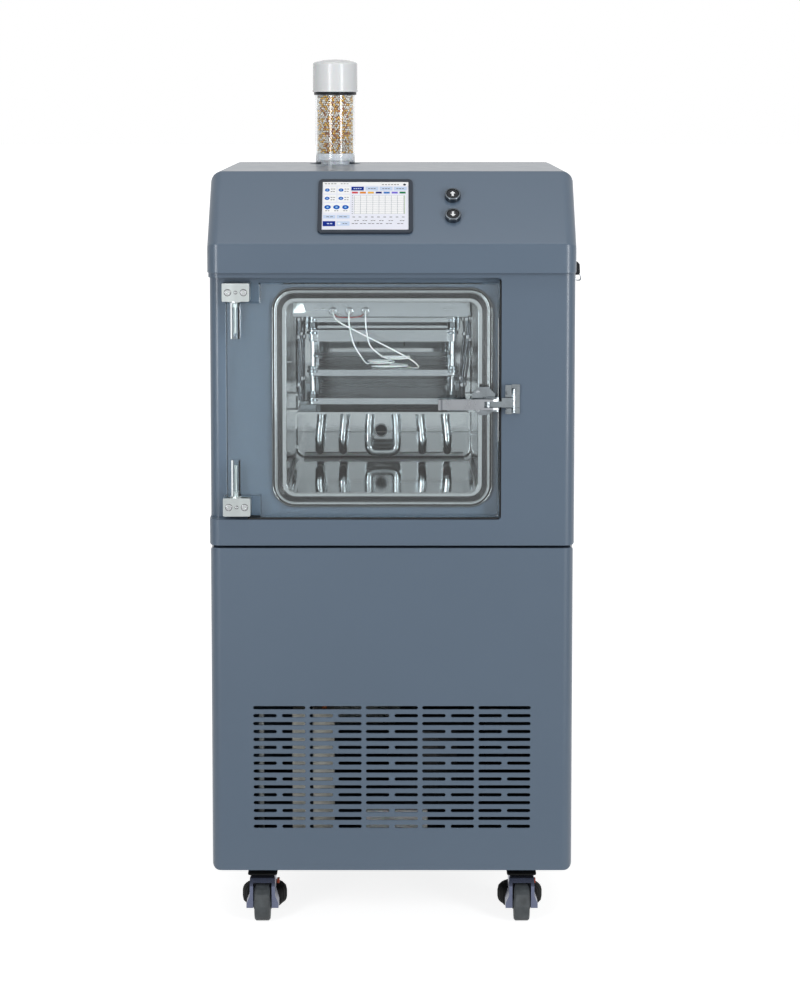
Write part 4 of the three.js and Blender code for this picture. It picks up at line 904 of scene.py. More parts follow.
def screen_picture():
    """The controller's picture as flat coloured shapes: tiles, round icons, a chart and its key."""
    width, height = SCREEN_SIZE
    names = list(SCREEN_PALETTE)
    points, faces, colours = [], [], []

    def shape(outline, colour, layer):
        """A face in one colour; its outline goes by shares of the screen's width and height."""
        start = len(points)
        level = SCREEN_TOP + 0.05 + 0.04 * layer
        for a, b in outline:
            points.append((SCREEN_X - width / 2 + a * width, -height / 2 + b * height, level))
        faces.append(list(range(start, len(points))))
        colours.append(names.index(colour))

    def bar(a0, a1, b0, b1, colour, layer=1):
        shape([(a0, b0), (a1, b0), (a1, b1), (a0, b1)], colour, layer)

    def dot(a, b, radius, colour, layer=2):
        turns = [2 * math.pi * i / 24 for i in range(24)]
        shape([(a + radius * math.cos(t), b + radius * math.sin(t) * 1.18) for t in turns], colour, layer)

    def dashes(a0, a1, b, count, colour="ink", thick=0.012):
        step = (a1 - a0) / count
        for i in range(count):
            bar(a0 + i * step, a0 + (i + 0.72) * step, b - thick / 2, b + thick / 2, colour, 2)

    bar(0.0, 1.0, 0.925, 1.0, "header")
    dashes(0.025, 0.17, 0.962, 4)
    dashes(0.21, 0.31, 0.962, 3)
    dashes(0.69, 0.9, 0.945, 6)
    dot(0.955, 0.945, 0.017, "ink")
    for b in (0.83, 0.655):
        for a in (0.055, 0.215):
            bar(a - 0.04, a + 0.105, b - 0.075, b + 0.075, "header")
            dot(a, b, 0.029, "icon")
            dot(a, b, 0.011, "icon_pale", 3)
            dashes(a + 0.04, a + 0.1, b + 0.02, 2)
            dashes(a + 0.04, a + 0.095, b - 0.03, 2)
    bar(0.015, 0.32, 0.36, 0.555, "header")
    for a in (0.062, 0.166, 0.27):
        dot(a, 0.47, 0.038, "icon")
        dot(a, 0.47, 0.014, "icon_pale", 3)
        dashes(a - 0.025, a + 0.03, 0.395, 2)
    bar(0.015, 0.155, 0.235, 0.305, "pale")
    bar(0.17, 0.32, 0.235, 0.305, "pale")
    dashes(0.05, 0.14, 0.27, 2)
    dashes(0.2, 0.3, 0.27, 2)
    bar(0.01, 0.155, 0.075, 0.18, "navy")
    dashes(0.06, 0.13, 0.128, 2, "pale", 0.02)
    bar(0.17, 0.32, 0.085, 0.175, "pale")
    dot(0.2, 0.13, 0.018, "header")
    dashes(0.24, 0.3, 0.13, 2)
    bar(0.335, 0.48, 0.82, 0.9, "navy")
    dashes(0.36, 0.46, 0.86, 4, "pale", 0.016)
    for a in (0.5, 0.665, 0.83):
        bar(a, a + 0.15, 0.82, 0.9, "pale")
        dashes(a + 0.03, a + 0.125, 0.86, 3)
    for i, chip in enumerate(name for name in names if name.startswith("chip_")):
        a = 0.342 + 0.0925 * i
        bar(a, a + 0.07, 0.757, 0.795, chip)
    bar(0.365, 0.965, 0.325, 0.72, "chart")
    for i in range(9):
        a = 0.372 + 0.0715 * i
        bar(a - 0.0015, a + 0.0015, 0.33, 0.715, "grid", 2)
        dashes(a - 0.02, a + 0.022, 0.265, 1)
    for i in range(9):
        b = 0.337 + 0.0465 * i
        bar(0.365, 0.95, b - 0.0015, b + 0.0015, "grid", 2)
        bar(0.343, 0.355, b - 0.005, b + 0.005, "ink", 2)
    bar(0.952, 0.957, 0.33, 0.715, "axis", 2)
    for a in (0.375, 0.47, 0.565, 0.66, 0.77, 0.9):
        dashes(a, a + 0.06, 0.19, 2)
        dashes(a - 0.03, a + 0.05, 0.13, 2)
    picture = on_slope(mesh_piece("screen_picture", points, faces))
    for name, colour in SCREEN_PALETTE.items():
        picture.data.materials.append(surface("screen_" + name, colour=colour, **SCREEN_FINISH))
    for face, colour in zip(picture.data.polygons, colours):
        face.material_index = colour
    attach(picture, "cabinet")


def screen():
    width, height = (size / 2 for size in BEZEL_SIZE)
    housing = prism("screen_bezel", screen_outline(width, height, 8), "Z", (0.3, 4.3))
    baked(round_edges(housing, 1.3, 3, 50))
    join(housing, prism("screen_body", screen_outline(73, 55, 1.5), "Z", (-30, 1.3)))
    width, height = (size / 2 + 0.3 for size in SCREEN_SIZE)
    cut(housing, prism("pocket", screen_outline(width, height, 1.2), "Z", (1.4, 6)))
    on_slope(housing)
    dress(housing, BEZEL, stands_for="screen_housing", bevel=0.3, angle=60)
    keep("screen_glass", DISPLAY, 0.2)
    screen_picture()


def buttons():
    collar = [
        (10.4, 9.0), (12.0, 9.0), (12.7, 8.7), (13.2, 8.1), (13.5, 7.2), (13.5, 1.2), (13.2, 0.6),
        (12.6, 0.3), (9.5, 0.3), (9.5, -26), (5.4, -26), (5.4, 2.5), (10.4, 2.5),
    ]
    cap = [
        (0, -20), (5, -20), (5, 4.8), (9.6, 4.8), (10, 5.2), (10, 7.6), (9.8, 8.2), (9.2, 8.6),
        (8.4, 8.7), (7.6, 8.45), (6, 8.35), (0, 8.3),
    ]
    arrow = [(0, 5.6), (-4.6, 0.6), (-1.8, 0.6), (-1.8, -5.2), (1.8, -5.2), (1.8, 0.6), (4.6, 0.6)]
    for name, v in BUTTON_VS.items():
        centre = (BUTTON_X, v, 0)
        body = name.split("_")[0] + "_cap"
        ring = on_slope(lathe(name + "_ring", collar, centre, closed=True))
        dress(ring, DARK_CHROME, stands_for=name + "_collar", bevel=0.15, angle=50)
        knob = on_slope(lathe(name + "_knob", cap, centre))
        dress(knob, BLACK_PLASTIC, body=body, stands_for=name)
        sign = math.copysign(1, v)
        mark = prism(name + "_arrow", [(BUTTON_X + a, v + sign * b) for a, b in arrow], "Z", (8.1, 8.55))
        dress(on_slope(mark), WHITE_PRINT, body=body, bevel=0.08)


screen()
buttons()

# --- desiccant column

TUBE_X, _, TUBE_Z = extent("column_tube")
COLUMN_X, COLUMN_Y, _ = centre_of("column_tube")
TUBE_RADIUS = (TUBE_X[1] - TUBE_X[0]) / 2
TUBE_WALL = 2
TUBE_BORE = TUBE_RADIUS - TUBE_WALL
CAP_X, _, CAP_Z = extent("column_cap")
CAP_RADIUS = (CAP_X[1] - CAP_X[0]) / 2
BED_Z = extent("desiccant")[2]
BED_FLOOR = 1279
BED_SUPPORT = 13


def on_column(name, profile, material, steps, closed=False, **finish):
    """A turned part about the column's axis."""
    dress(lathe(name, profile, (COLUMN_X, COLUMN_Y, 0), steps=steps, closed=closed), material, **finish)


def column():
    keep("column_socket", BLACK_PLASTIC, 0.5)
    foot, head = TUBE_Z
    glass = [
        (0, foot), (TUBE_RADIUS - 0.5, foot), (TUBE_RADIUS, foot + 0.5), (TUBE_RADIUS, head - 0.5),
        (TUBE_RADIUS - 0.5, head), (TUBE_BORE + 0.5, head), (TUBE_BORE, head - 0.5),
        (TUBE_BORE, foot + TUBE_WALL), (0, foot + TUBE_WALL),
    ]
    on_column("clear_tube", glass, TUBE_CLEAR, 72, stands_for="column_tube")
    low, top = CAP_Z
    bore = TUBE_RADIUS + 0.3
    dome = [
        (bore, low + 5.4), (CAP_RADIUS - 0.4, low + 5.4), (CAP_RADIUS + 0.4, low + 6.2),
        (CAP_RADIUS + 0.4, low + 7.6), (CAP_RADIUS - 0.5, low + 9), (CAP_RADIUS - 0.8, top - 9),
        (CAP_RADIUS - 1.6, top - 6.6), (CAP_RADIUS - 3.6, top - 5.2), (CAP_RADIUS - 9, top - 3.6),
        (CAP_RADIUS - 18, top - 1.6), (CAP_RADIUS - 29, top - 0.4), (0, top), (0, head + 0.3),
        (bore, head + 0.3),
    ]
    on_column("cap_shell", dome, WHITE_PLASTIC, 72, closed=True, stands_for="column_cap", angle=50)
    edge = CAP_RADIUS - 2.4
    seal = [(bore, low), (edge - 0.6, low), (edge, low + 0.6), (edge, low + 5.2), (bore, low + 5.2)]
    on_column("cap_seal", seal, BLACK_PLASTIC, 64, closed=True)
    under = BED_FLOOR - BED_SUPPORT
    support = [(0, under), (TUBE_BORE - 0.4, under), (TUBE_BORE - 0.4, BED_FLOOR), (0, BED_FLOOR)]
    on_column("bed_support", support, WHITE_PLASTIC, 48, bevel=0.8)
    reach = TUBE_BORE - 8
    stem = [(0, foot + 3.4), (reach, foot + 3.4), (reach, under - 0.2), (0, under - 0.2)]
    on_column("bed_stem", stem, WHITE_PLASTIC, 32, bevel=0.8)
    beads()


GRAIN_RINGS = ((2.5, 44), (6.6, 26))
GRAIN_RADII = (1.75, 2.35)
GRAIN_ROW = 3.75


def beads():
    """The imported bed: rings of round grains against the wall, and fewer of them behind."""
    grains = random.Random(7)
    icon = bmesh.new()
    bmesh.ops.create_icosphere(icon, subdivisions=1, radius=1)
    ball = [v.co.copy() for v in icon.verts]
    ball_faces = [[v.index for v in face.verts] for face in icon.faces]
    icon.free()
    made = {"orange": ([], []), "brown": ([], []), "white": ([], [])}

    def grain(x, y, z, radius):
        pick = grains.random()
        points, faces = made["orange" if pick < 0.32 else "brown" if pick < 0.38 else "white"]
        start = len(points)
        turn = Matrix.Rotation(grains.uniform(0, 6.28), 3, "Z")
        turn = turn @ Matrix.Rotation(grains.uniform(0, 6.28), 3, "X")
        squeeze = grains.uniform(0.86, 1.0)
        for v in ball:
            p = turn @ Vector((v.x, v.y, v.z * squeeze))
            points.append((x + radius * p.x, y + radius * p.y, z + radius * p.z))
        faces.extend([[i + start for i in face] for face in ball_faces])

    z = BED_FLOOR + 2.3
    row = 0
    while z < BED_Z[1] - 2.2:
        for inset, count in GRAIN_RINGS:
            for i in range(count):
                angle = 2 * math.pi * (i + 0.5 * (row % 2) + grains.uniform(-0.16, 0.16)) / count
                radius = grains.uniform(*GRAIN_RADII)
                out = TUBE_BORE - inset + grains.uniform(-0.5, 0.2)
                x = COLUMN_X + out * math.cos(angle)
                y = COLUMN_Y + out * math.sin(angle)
                grain(x, y, z + grains.uniform(-0.6, 0.6), radius)
        z += GRAIN_ROW
        row += 1
    reach = TUBE_BORE - 7.5
    core = [(0, BED_FLOOR + 0.2), (reach, BED_FLOOR + 0.2), (reach, BED_Z[1] - 3), (0, BED_Z[1] - 2)]
    on_column("bead_core", core, BROWN_BEAD, 32)
    dress(mesh_piece("beads_orange", *made["orange"]), ORANGE_BEAD, stands_for="desiccant")
    dress(mesh_piece("beads_brown", *made["brown"]), BROWN_BEAD)
    dress(mesh_piece("beads_white", *made["white"]), WHITE_BEAD)


column()

# --- chamber

FLANGE_FACE = CHAMBER_Y[0]
PORT_X = -21
PORT_Z = 780
PORT_RADIUS = 10
RAM_BORE_RADIUS = 10.4
SEAM_Z = 777
FLANGE_RADIUS = 37
BORE_RADIUS = 16
CHAMBER_BACK = CHAMBER_Y[1] - 6


def square_ring(half, radius, y, steps=10):
    outline = rounded(about(CENTRE_X, half), about(CENTRE_Z, half), radius, steps=steps)
    return [(a, y, b) for a, b in outline]


def swept_square(name, profile):
    """A closed profile of [half size, corner radius, y] carried round the chamber's square."""
    return loft(name, [square_ring(*point) for point in profile], joined_ends=True)


# Sections of the flange, of the black cord in its groove and of the black ring at its edge, the last two
# painted shade, as [inset from the rim, depth behind the face].
FLANGE_FORM = (
    (0, 6), (0, 1.9), (0.3, 0.9), (1.0, 0.3), (1.8, 0.3), (2.4, 1.0), (2.7, 2.6), (3.8, 2.8), (4.1, 1.4),
    (4.7, 0.5), (5.7, 0.1), (6.9, 0.1), (7.8, 0.5), (8.3, 0), (21.2, 0), (23.8, 0.2), (24.6, 0.8), (25, 2.0),
)
FLANGE_GROOVE_SHADE = ((2.75, 2.7), (2.75, 0.7), (3.3, 0.4), (3.8, 0.7), (3.8, 2.8))
FLANGE_EDGE_SHADE = ((0.1, 5), (0.1, 0.5), (0.6, -0.1), (1.3, -0.1), (1.6, 0.6), (1.6, 5))


def flange(form):
    """A section's points, with the corner radius that runs from the rim's to the bore's."""
    width = FLANGE_HALF - BORE_HALF
    shrink = BORE_RADIUS - FLANGE_RADIUS
    return [(FLANGE_HALF - a, FLANGE_RADIUS + shrink * (a / width), FLANGE_FACE + y) for a, y in form]


def chamber():
    wall = BORE_HALF + CHAMBER_WALL
    back = CHAMBER_BACK
    profile = flange(FLANGE_FORM) + [
        (BORE_HALF, BORE_RADIUS, back - 2.4), (BORE_HALF - 0.7, BORE_RADIUS, back - 0.7),
        (BORE_HALF - 2.4, BORE_RADIUS, back), (BORE_HALF - 2.4, BORE_RADIUS, back + 5.9),
        (wall - 3, BORE_RADIUS + 3, back + 5.9), (wall, BORE_RADIUS + 4, back + 3),
        (wall, BORE_RADIUS + 4, FLANGE_FACE + 6),
    ]
    shell = swept_square("chamber_shell", profile)
    # A black cord in the flange's groove and a black ring round its edge are painted shade.
    shade_cords = [swept_square("cord", flange(form)) for form in (FLANGE_GROOVE_SHADE, FLANGE_EDGE_SHADE)]
    dress(merged("flange_shade_rings", shade_cords), PAINTED_SHADE)
    outline = rounded(about(CENTRE_X, BORE_HALF), about(CENTRE_Z, BORE_HALF), BORE_RADIUS)
    join(shell, prism("back_plate", outline, "Y", (back, back + 6)))
    cut(shell, prism("port", disc(PORT_X, PORT_Z, PORT_RADIUS), "Y", (back - 5, back + 10)))
    ram_x, ram_y, _ = centre_of("ram_cylinder")
    through = (CENTRE_Z + BORE_HALF - 4, CENTRE_Z + wall + 4)
    cut(shell, prism("ram_bore", disc(ram_x, ram_y, RAM_BORE_RADIUS), "Z", through))
    dress(shell, POLISHED, stands_for="vacuum_chamber", bevel=0.3, angle=60)
    under = (CHAMBER_Z[0], CENTRE_Z - wall + 0.5)
    places = (FLANGE_FACE + 95, back - 60)
    saddles = [block("saddle", about(CENTRE_X, 120), (y, y + 30), under) for y in places]
    dress(merged("chamber_saddles", saddles), DARK_STEEL, bevel=0.8)
    rail = [(x, back - 6, CENTRE_Z - BORE_HALF + 5.4) for x in about(CENTRE_X, BORE_HALF - 14)]
    dress(tube("chamber_rail", rail, 2.8, 16), WHITE_PLASTIC)
    seam = [(x, back - 0.2, SEAM_Z) for x in about(CENTRE_X, BORE_HALF - 4)]
    rim = [(10, -0.2), (12.4, -0.2), (12.4, -1.0), (11.8, -1.5), (10.6, -1.5), (10, -1.0)]
    seams = [tube("seam", seam, 0.7, 8), lathe("rim", rim, (PORT_X, back, PORT_Z), "Y", closed=True)]
    dress(merged("chamber_seams", seams), STAINLESS)


GASKET_RADIUS = 31
# The gasket's two lips, as [inset from its outside, depth behind its face].
GASKET_LIPS = (
    (3.2, 3.0), (3.5, 1.6), (4.2, 0.6), (5.4, 0), (6.6, 0.2), (7.5, 1.0), (8.0, 2.6), (9.4, 2.6),
    (9.8, 1.5), (10.6, 0.9), (11.6, 1.5), (12, 3.0),
)


def gasket():
    x, (near, far), _ = extent("door_gasket")
    outer = (x[1] - x[0]) / 2
    section = [(3.2, far), *((a, near + y) for a, y in GASKET_LIPS), (12, far)]
    profile = [(outer - a, GASKET_RADIUS - a * 0.8, y) for a, y in section]
    dress(swept_square("gasket_ring", profile), SILICONE, stands_for="door_gasket")


chamber()
gasket()

# --- shelf stack

ROD_RADIUS = 3.7
ROD_INSET = 10
EAR_HALF = 7
PLATFORM_HALF = 145.5
PLATFORM_SKIRT = 24
PLATFORM_WALL = 3.5
PLATFORM_TOP = 4


SHELF_X, SHELF_Y, _ = extent("bottom_shelf")
ROD_ROWS = within(SHELF_Y, ROD_INSET)
RODS = [(x, y) for x in within(SHELF_X, EAR_HALF) for y in ROD_ROWS]


def shelf(name, node, z):
    """A fluid-heated shelf: a plate with an ear at each corner that runs on a guide rod."""
    x, y, _ = extent(node)
    plate = block(name, about(middle(x), (x[1] - x[0]) / 2 - 15), y, z)
    bars = [block("ear", within(SHELF_X, EAR_HALF), about(ry, EAR_HALF), z) for ry in ROD_ROWS]
    collars = [prism("collar", disc(*rod, EAR_HALF, 32), "Z", z) for rod in RODS]
    join(plate, *bars, *collars)
    for rod in RODS:
        cut(plate, prism("bore", disc(*rod, ROD_RADIUS + 0.4, 24), "Z", (z[0] - 1, z[1] + 1)))
    return plate


def stack():
    x, _, z = extent("shelf_rack")
    low, top = z
    mid = middle(SHELF_X)
    depth = within(SHELF_Y, -15)
    outline = rounded(about(mid, PLATFORM_HALF), above(low, -PLATFORM_SKIRT, PLATFORM_TOP), 0.5, 8)
    platform = prism("platform", outline, "Y", depth)
    hollow = above(low, -PLATFORM_SKIRT - 6, PLATFORM_TOP - PLATFORM_WALL)
    under = rounded(about(mid, PLATFORM_HALF - PLATFORM_WALL), hollow, 0.5, 5)
    cut(platform, prism("under", under, "Y", within(depth, -1)))
    thick = (low, low + PLATFORM_TOP)
    tabs = [block("tab", x, (at, at + 30), thick) for at in (depth[0] + 30, depth[1] - 60)]
    join(platform, *tabs)
    rod = [(0, low + 0.1), (ROD_RADIUS, low + 0.1), (ROD_RADIUS, top - 1), (ROD_RADIUS - 0.8, top), (0, top)]
    join(platform, *[lathe("rod", rod, (rx, ry, 0), steps=28) for rx, ry in RODS])
    dress(platform, POLISHED, stands_for="shelf_rack", bevel=0.6, angle=34)
    for level, body in (("bottom", "cabinet"), ("middle", "mid_shelf"), ("top", "press")):
        node = level + "_shelf"
        made = shelf("shelf_" + level, node, extent(node)[2])
        dress(made, STAINLESS, body=body, stands_for=node, bevel=0.7, angle=60)
    low, top = extent("press_plate")[2]
    pad = block("press_pad", within(SHELF_X, 15), SHELF_Y, (low, low + 4.5))
    core = block("core", within(SHELF_X, 27), (SHELF_Y[0] + 80, SHELF_Y[1] - 12), above(low, 4, 10.5))
    upper = shelf("upper", "press_plate", above(low, 10, 18))
    ram = [(0, low + 17), (10, low + 17), (10, top), (0, top)]
    join(pad, core, upper, lathe("ram", ram, (*centre_of("ram_cylinder")[:2], 0), steps=40))
    dress(pad, STAINLESS, body="press", stands_for="press_plate", bevel=0.6, angle=50)
    keep("ram_cylinder", ALUMINIUM, 0.6)


def ring(bore, radius, z, centre, steps=32):
    """A washer, collar or nut on an upright line, with worn edges."""
    low, high = z
    edge = 0.4
    profile = [
        (bore, low), (radius - edge, low), (radius, low + edge),
        (radius, high - edge), (radius - edge, high), (bore, high),
    ]
    return lathe("ring", profile, (*centre, 0), steps=steps, closed=True)


def pin(radius, z, centre):
    return prism("pin", disc(*centre, radius, 16), "Z", z)


POST_XS = (-41, 37)
POST_Y = -204


def rod_fittings():
    """The nuts, washers, stops and foot blocks on the four guide rods, by the body that they ride."""
    ear = EAR_HALF + 0.1
    slide = ROD_RADIUS + 0.5
    foot = extent("shelf_rack")[2][0] + 4
    low, mid, top = (extent(node)[2] for node in ("bottom_shelf", "middle_shelf", "top_shelf"))
    press = extent("press_plate")[2][0] + 10
    fixed, on_middle, on_press = [], [], []
    for x, y in RODS:
        away = math.copysign(1, x - CENTRE_X)
        rod = (x, y)
        stop = (x - away * 6.5, y - 6)

        def side(near, far):
            return tuple(sorted((x + away * near, x + away * far)))

        on_press += [
            ring(ear, 10.4, above(top[0], 12.6, 16.6), rod),
            ring(slide, 9, above(top[1], 0.2, 3.6), rod),
            ring(slide, 7.6, (top[1] + 3.8, press - 0.2), rod, 6),
            ring(ear, 9.4, above(press, 1.6, 5.4), rod),
            ring(slide, 7.4, above(press, 8.2, 13.6), rod, 6),
            pin(2.4, (top[1] + 1, press + 9), (x + away * 9.6, y - 5)),
            pin(1.2, above(top[0], -15, -0.2), (x - away * 5.2, y)),
        ]
        on_middle += [
            ring(slide, 8.2, above(mid[1], 0.2, 5.2), rod),
            ring(ear, 10.4, above(mid[0], 5.6, 9.6), rod),
            pin(1.3, above(mid[1], 0.1, 22), stop),
            ring(1.3, 3.6, above(mid[1], 20.8, 24), stop, 20),
            pin(1.3, above(mid[0], -11, -0.2), stop),
            ring(1.3, 3.6, above(mid[0], -2.6, -0.4), stop, 20),
            ring(1.3, 3.6, above(mid[0], -6.4, -4), stop, 20),
        ]
        fixed += [
            ring(slide, 8.8, above(low[1], 0.2, 5.4), rod, 6),
            ring(slide, 7.6, above(low[1], 5.6, 11.2), rod),
            block("stop", side(4.8, 12), above(y, -2, 7), above(low[1], 11.4, 24)),
            block("stop", side(-9.5, -4.4), above(y, -2, 7), above(low[1], 11.4, 24)),
            ring(ear, 10.4, above(low[0], 5.4, 8.8), rod),
            block("foot", side(-4.3, 21), about(y, 12), above(foot, 0.1, 2.4)),
            block("foot", side(-3, 19), about(y, 10), above(foot, 2.4, 4.2)),
            block("foot", side(-4.3, 21), about(y, 12), (foot + 4.2, low[0] - 0.2)),
            block("foot", side(11.2, 21), about(y, 10), above(low[0], -0.2, 5.6)),
        ]
    posts = [pin(1.5, above(top[0], -12, -0.2), (CENTRE_X + dx, POST_Y)) for dx in POST_XS]
    dress(merged("fittings_fixed", fixed), LATCH_STEEL, bevel=0.3)
    dress(merged("fittings_middle", on_middle), LATCH_STEEL, body="mid_shelf", bevel=0.2)
    dress(merged("fittings_press", on_press), LATCH_STEEL, body="press", bevel=0.3)
    dress(merged("press_posts", posts), BLACK_PLASTIC, body="press")


# The rigid lines beside the rods, as [x, z] pairs, with the depth and the radius of each.
FEED_LINES = (
    (-243, 2.3, ((-155, 1019), (-155.6, 985), (-154, 945), (-155.4, 905), (-153.6, 879))),
    (-237, 2.0, ((-149.6, 1019), (-151, 990), (-149, 955), (-150.2, 915), (-149.4, 879))),
    (-231, 1.9, ((-146.9, 1019), (-146.6, 985), (-147.2, 950), (-146.8, 915), (-146.6, 879))),
    (-243, 2.5, ((124, 1019), (126, 985), (121, 945), (116.6, 905), (117.6, 879))),
    (-236, 2.2, ((118.6, 1019), (120.6, 990), (116.6, 950), (114.6, 915), (115.4, 879))),
    (-230, 1.9, ((129, 1019), (129.6, 980), (126.6, 940), (121.6, 905), (119.6, 879))),
)


def feed_lines():
    lines, nuts = [], []
    for y, radius, route in FEED_LINES:
        lines.append(tube("line", smooth_line([(x, y, z) for x, z in route], 6), radius, 12))
        for x, z in route[1:4:2]:
            nuts.append(ring(radius - 0.3, radius + 1.6, about(z, 3), (x, y), 6))
        nuts.append(ring(radius - 0.3, radius + 2.2, (1012, 1018), (route[0][0], y), 6))
    dress(merged("feed_lines", lines), DARK_CHROME)
    dress(merged("line_nuts", nuts), PLATED, bevel=0.2)
    left, right = about(CENTRE_X, BORE_HALF)
    studs = [prism("stud", disc(-236, z, 1.5, 16), "X", above(right, -11, -0.2)) for z in (981, 1011)]
    studs.append(prism("stud", disc(-240, 943, 2.6, 16), "X", above(left, 0.2, 6)))
    dress(merged("wall_studs", studs), PLATED, bevel=0.4)


stack()
rod_fittings()
feed_lines()

# --- header, glands, condenser


def header():
    x, y, z = extent("chamber_header")
    face = y[0] - 0.3
    keep("chamber_header", STAINLESS, 0.5)
    heads = [
        screw_head((at, y[0], z[0] + 12), -1, 2.6, 1.4, 1.4)
        for at in (x[0] + 37, x[0] + 50, x[1] - 39, x[1] - 29)
    ]
    left = x[0] + 1
    foot = 1026.5
    front = [(left, foot), (x[0] + 22, 1029), (x[0] + 17, 1043.5), (left, 1043.5)]
    near = [(a, y[0] - 1.2 - 0.24 * (a - left) + 0.11 * (b - foot), b) for a, b in front]
    tab = loft("header_tab", [near, [(a, face, b) for a, b in front]])
    dress(tab, ALUMINIUM, bevel=0.3)
    dress(merged("header_screws", heads), CHROME, bevel=0.1)
    gland = [(2, 0), (6.4, 0), (6.8, 0.4), (6.8, 3.2), (6.2, 3.8), (5.6, 4), (5.6, 6.6), (4.8, 8), (2, 8)]
    neck = [(0, -0.5), (4, -0.5), (4, 8), (0, 8)]
    for number, gland_x in enumerate(SENSOR_XS, 1):
        centre = (gland_x, face, WIRE_EXIT_Z)
        body = lathe(f"gland_{number}", [(r, -h) for r, h in gland], centre, "Y", 36, closed=True)
        join(body, lathe("neck", neck, centre, "Y", 24))
        dress(body, PLATED, stands_for=f"sensor_gland_{number}", bevel=0.2, angle=50)
    first, _, last = SENSOR_XS
    sag = [
        (first + 2, 5, 4), (first + 7, 9, 8.4), (first + 26, 10, 9.8), (last - 9, 9, 8.2), (last - 2, 5, 4),
    ]
    jumper = smooth_line([(a, y[0] - out, WIRE_EXIT_Z - drop) for a, out, drop in sag], 8)
    dress(tube("red_jumper", jumper, 0.7, 12), WIRE_RED)


COIL_TUBE = 4.75
# How much more radius the tube is drawn with than the solid has.
COIL_SKIN = 3.4
COIL_DEPTH = 46
COIL_LOOPS = (-108, -66, 62, 107)
COIL_LEAN = 7
HAIRPIN = (-26, 23)
HAIRPIN_BEND = 11


def condenser():
    """The refrigerant tube in upright loops, with a hairpin in front of the vapour port."""
    back = CHAMBER_BACK - 8 - COIL_TUBE
    front = back - COIL_DEPTH
    bend = COIL_DEPTH / 2
    top = extent("shelf_rack")[2][0] - 12 - COIL_TUBE
    low = CENTRE_Z - BORE_HALF + 13 + COIL_TUBE

    def loop(offset):
        head = CENTRE_X + offset
        foot = head + math.copysign(COIL_LEAN, offset)
        half_way = ((head + foot) / 2, (top + low + bend) / 2)
        turn = [(foot, a, b) for a, b in arc(back - bend, low + bend, bend, 0, -180, 8)]
        return [
            (head, back, top), (half_way[0], back, half_way[1]), *turn, (half_way[0], front, half_way[1]),
            (head, front, top),
        ]

    left, right = (CENTRE_X + offset for offset in HAIRPIN)
    hairpin = [(left, front, top), (left, front, (top + low) / 2)]
    for a, start in ((left + HAIRPIN_BEND, 180), (right - HAIRPIN_BEND, 270)):
        turn = arc(a, low + HAIRPIN_BEND, HAIRPIN_BEND, start, start + 90, 4)
        hairpin += [(a, front, b) for a, b in turn]
    hairpin += [(right, front, (top + low) / 2), (right, front, top)]
    loops = [loop(offset) for offset in COIL_LOOPS]
    wall = CHAMBER_BACK - 0.3
    points = [
        (loops[0][0][0], wall, top), *loops[0], *loops[1], *hairpin, *loops[2][::-1], *loops[3][::-1],
        (loops[3][0][0], wall, top),
    ]
    coil = tube("coil_tube", smooth_line(points, 4), COIL_TUBE + COIL_SKIN, 20)
    dress(coil, POLISHED, stands_for="condenser_coil")


header()
condenser()

# --- door

# Each screw in a hinge block: its place from the block's middle, and its radius.
HINGE_SCREWS = ((-13, 5.0), (13, 5.0), (0, 2.0))
HINGE_BLOCK_HALF = 15


def door():
    keep("door_panel", ACRYLIC, 1.0)
    for where in ("top", "bottom"):
        keep(f"hinge_block_{where}", ALUMINIUM, 0.5)
        x, y, z = extent(f"hinge_block_{where}")
        level = z[1] - HINGE_BLOCK_HALF if where == "top" else z[0] + HINGE_BLOCK_HALF
        heads, shade_rings = [], []
        for dx, radius in HINGE_SCREWS:
            heads.append(countersunk((middle(x) + dx, y[0] - 0.05, level), radius))
            # Each screw gets a black ring round its head and a black disc in its socket, painted shade in
            # the gap and the hole.
            rim = [(radius + 0.1, 0.4), (radius + 0.1, -0.06), (radius + 0.9, -0.06), (radius + 0.9, 0.4)]
            floor = [(0, 1.3), (0, 0.7), (radius * 0.44, 0.7), (radius * 0.44, 1.3)]
            centre = (middle(x) + dx, y[0], level)
            shade_rings.append(lathe("gap", rim, centre, "Y", 24, closed=True))
            shade_rings.append(lathe("socket", floor, centre, "Y", 12))
        dress(merged(f"hinge_screws_{where}", heads), CHROME, bevel=0.08)
        dress(merged(f"hinge_shade_rings_{where}", shade_rings), PAINTED_SHADE)


def countersunk(centre, radius):
    """A flush screw head: a ring of light round a hexagon socket; in the hinge blocks a black disc of
    painted shade darkens the socket.
    """
    profile = [
        (0, 1.5), (radius, 1.5), (radius, -0.15), (radius - 0.3, -0.35), (radius * 0.52, -0.35),
        (radius * 0.46, -0.1), (radius * 0.46, 1.2), (0, 1.2),
    ]
    return lathe("countersunk", profile, centre, "Y", 24)


def latch():
    for node in ("latch_base", "latch_link", "latch_keeper"):
        keep(node, LATCH_STEEL, 0.5)
    keep("latch_lever", SATIN, 0.6)
    x, y, z = extent("latch_base")
    heads = [countersunk((x[0] + 10, y[1] - 3.1, at), 2.6) for at in (z[0] + 8, z[1] - 8)]
    dress(merged("latch_screws", heads), STAINLESS, body="door", bevel=0.08)


door()
latch()

# --- machine bay


CUP_DEPTH = (-246, -214)
DUCT_X = -221.5
DUCT_DEPTH = (-252, -240)
DUCT_Z = (105, 349)


